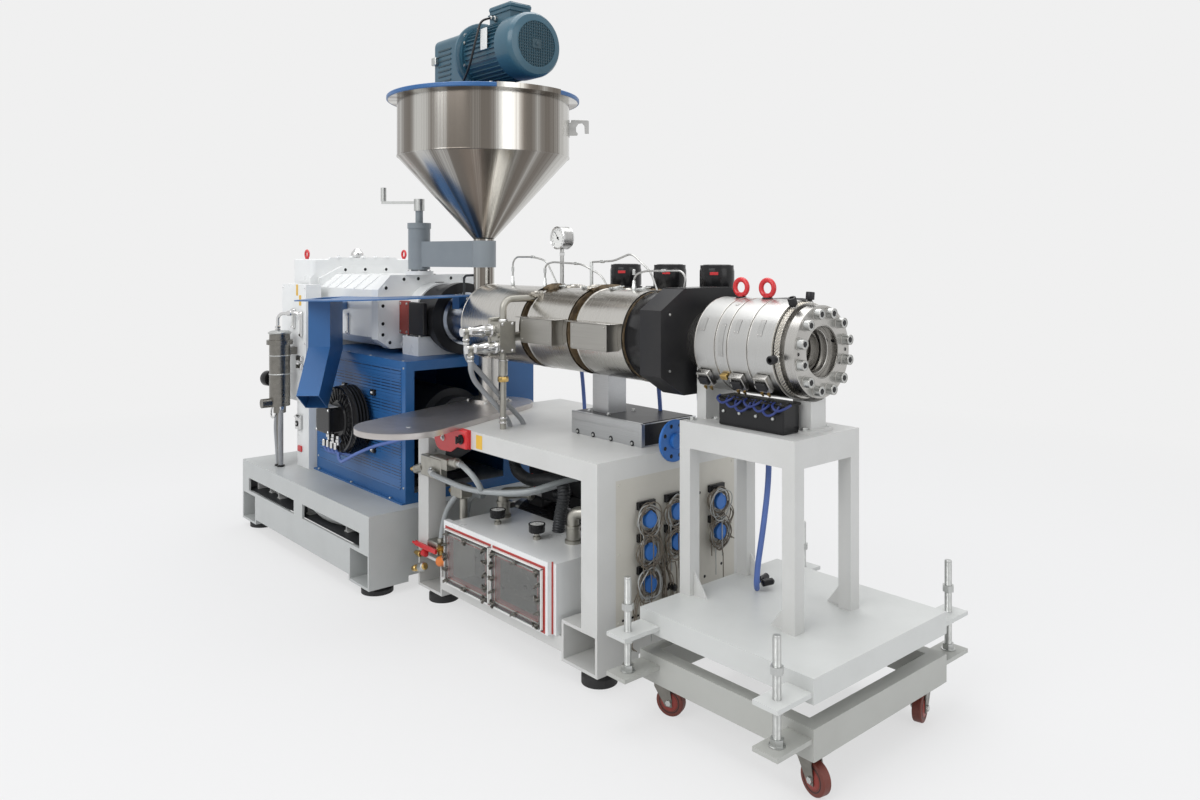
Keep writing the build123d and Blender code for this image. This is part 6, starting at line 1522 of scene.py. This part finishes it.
# Floor, backdrop, lamps and camera
studio = {"half": 40.0, "floor": 0.78, "white": 0.871, "shadow": 0.3, "fade": (2.8, 6.5), "sky": 0.62,
    "skyColor": (0.93, 0.95, 1.0, 1), "lens": 27.26, "sensor": 36.0, "shift": -0.1194,
    "cameraAt": (3.49, -2.447, 1.58), "cameraTurn": 48.86}
lamps = {"keyLight": {"at": (1.5, -8.0, 6.5), "towards": (0, 0, 1.1), "size": (7.0, 5.0), "power": 380.0},
    "fillLight": {"at": (8.5, 0.5, 4.0), "towards": (0.5, 0, 1.0), "size": (4.5, 5.0), "power": 110.0},
    "topLight": {"at": (-0.5, 1.0, 7.5), "towards": (0, 0, 1.0), "size": (8.0, 6.0), "power": 330.0}}


def seenMask(tree):
    # 1 for camera, transmission and glossy rays, 0 for the light that falls on the object
    rays = addNode(tree, "LightPath")
    first = addNode(tree, "Math", operation="MAXIMUM")
    second = addNode(tree, "Math", operation="MAXIMUM")
    wireUp(tree, [(rays, "Is Camera Ray", first, 0), (rays, "Is Transmission Ray", first, 1),
        (first, 0, second, 0), (rays, "Is Glossy Ray", second, 1)])
    return second


scene = bpy.context.scene
white = (studio["white"],) * 3 + (1,)
half = studio["half"]
floorMesh = bpy.data.meshes.new("floor")
floorMesh.from_pydata([(-half, -half, 0), (half, -half, 0), (half, half, 0), (-half, half, 0)], [],
    [(0, 1, 2, 3)])
floor = bpy.data.objects.new("floor", floorMesh)
scene.collection.objects.link(floor)
floorMat, shader = plainShader("floorPale", {"Base Color": (studio["floor"],) * 3 + (1,), "Roughness": 0.9})
floorMesh.materials.append(floorMat)
tree = floorMat.node_tree
glow = addNode(tree, "Emission", {"Color": white})
share = addNode(tree, "Math", operation="MULTIPLY")
blend = addNode(tree, "MixShader")
place = addNode(tree, "TexCoord")
away = addNode(tree, "VectorMath", operation="LENGTH")
fade = addNode(tree, "MapRange", {"From Min": studio["fade"][0], "From Max": studio["fade"][1],
                                  "To Min": 1 - studio["shadow"], "To Max": 1.0})   # less shadow far out
wireUp(tree, [(seenMask(tree), 0, share, 0), (place, "Object", away, 0), (away, "Value", fade, "Value"),
    (fade, "Result", share, 1), (share, 0, blend, "Fac"), (shader, 0, blend, 1), (glow, 0, blend, 2),
    (blend, 0, tree.nodes["Material Output"], "Surface")])

world = bpy.data.worlds.new("studioWorld")
scene.world = world
world.use_nodes = True
tree = world.node_tree
softSky = tree.nodes["Background"]
softSky.inputs["Color"].default_value = studio["skyColor"]
softSky.inputs["Strength"].default_value = studio["sky"]
seenSky = addNode(tree, "Background", {"Color": white, "Strength": 1.0})
blend = addNode(tree, "MixShader")
wireUp(tree, [(seenMask(tree), 0, blend, "Fac"), (softSky, 0, blend, 1), (seenSky, 0, blend, 2),
    (blend, 0, tree.nodes["World Output"], "Surface")])

for name, values in lamps.items():
    lamp = bpy.data.lights.new(name, "AREA")
    lamp.shape = "RECTANGLE"
    lamp.size, lamp.size_y = values["size"]
    lamp.energy = values["power"]
    holder = bpy.data.objects.new(name, lamp)
    at = values["at"]
    u, v, w = axes(np.asarray(at, float) - np.asarray(values["towards"], float))
    holder.matrix_world = Matrix([[u[k], v[k], w[k], at[k]] for k in range(3)] + [[0, 0, 0, 1]])
    scene.collection.objects.link(holder)

lens = bpy.data.cameras.new("viewCamera")
lens.sensor_width = studio["sensor"]
lens.lens = studio["lens"]
lens.shift_y = studio["shift"]
lens.clip_end = 200
viewer = bpy.data.objects.new("viewCamera", lens)
viewer.location = studio["cameraAt"]
viewer.rotation_euler = (radians(90), 0, radians(studio["cameraTurn"]))
scene.collection.objects.link(viewer)
scene.camera = viewer
scene.view_settings.view_transform = "Standard"
print("stage set")
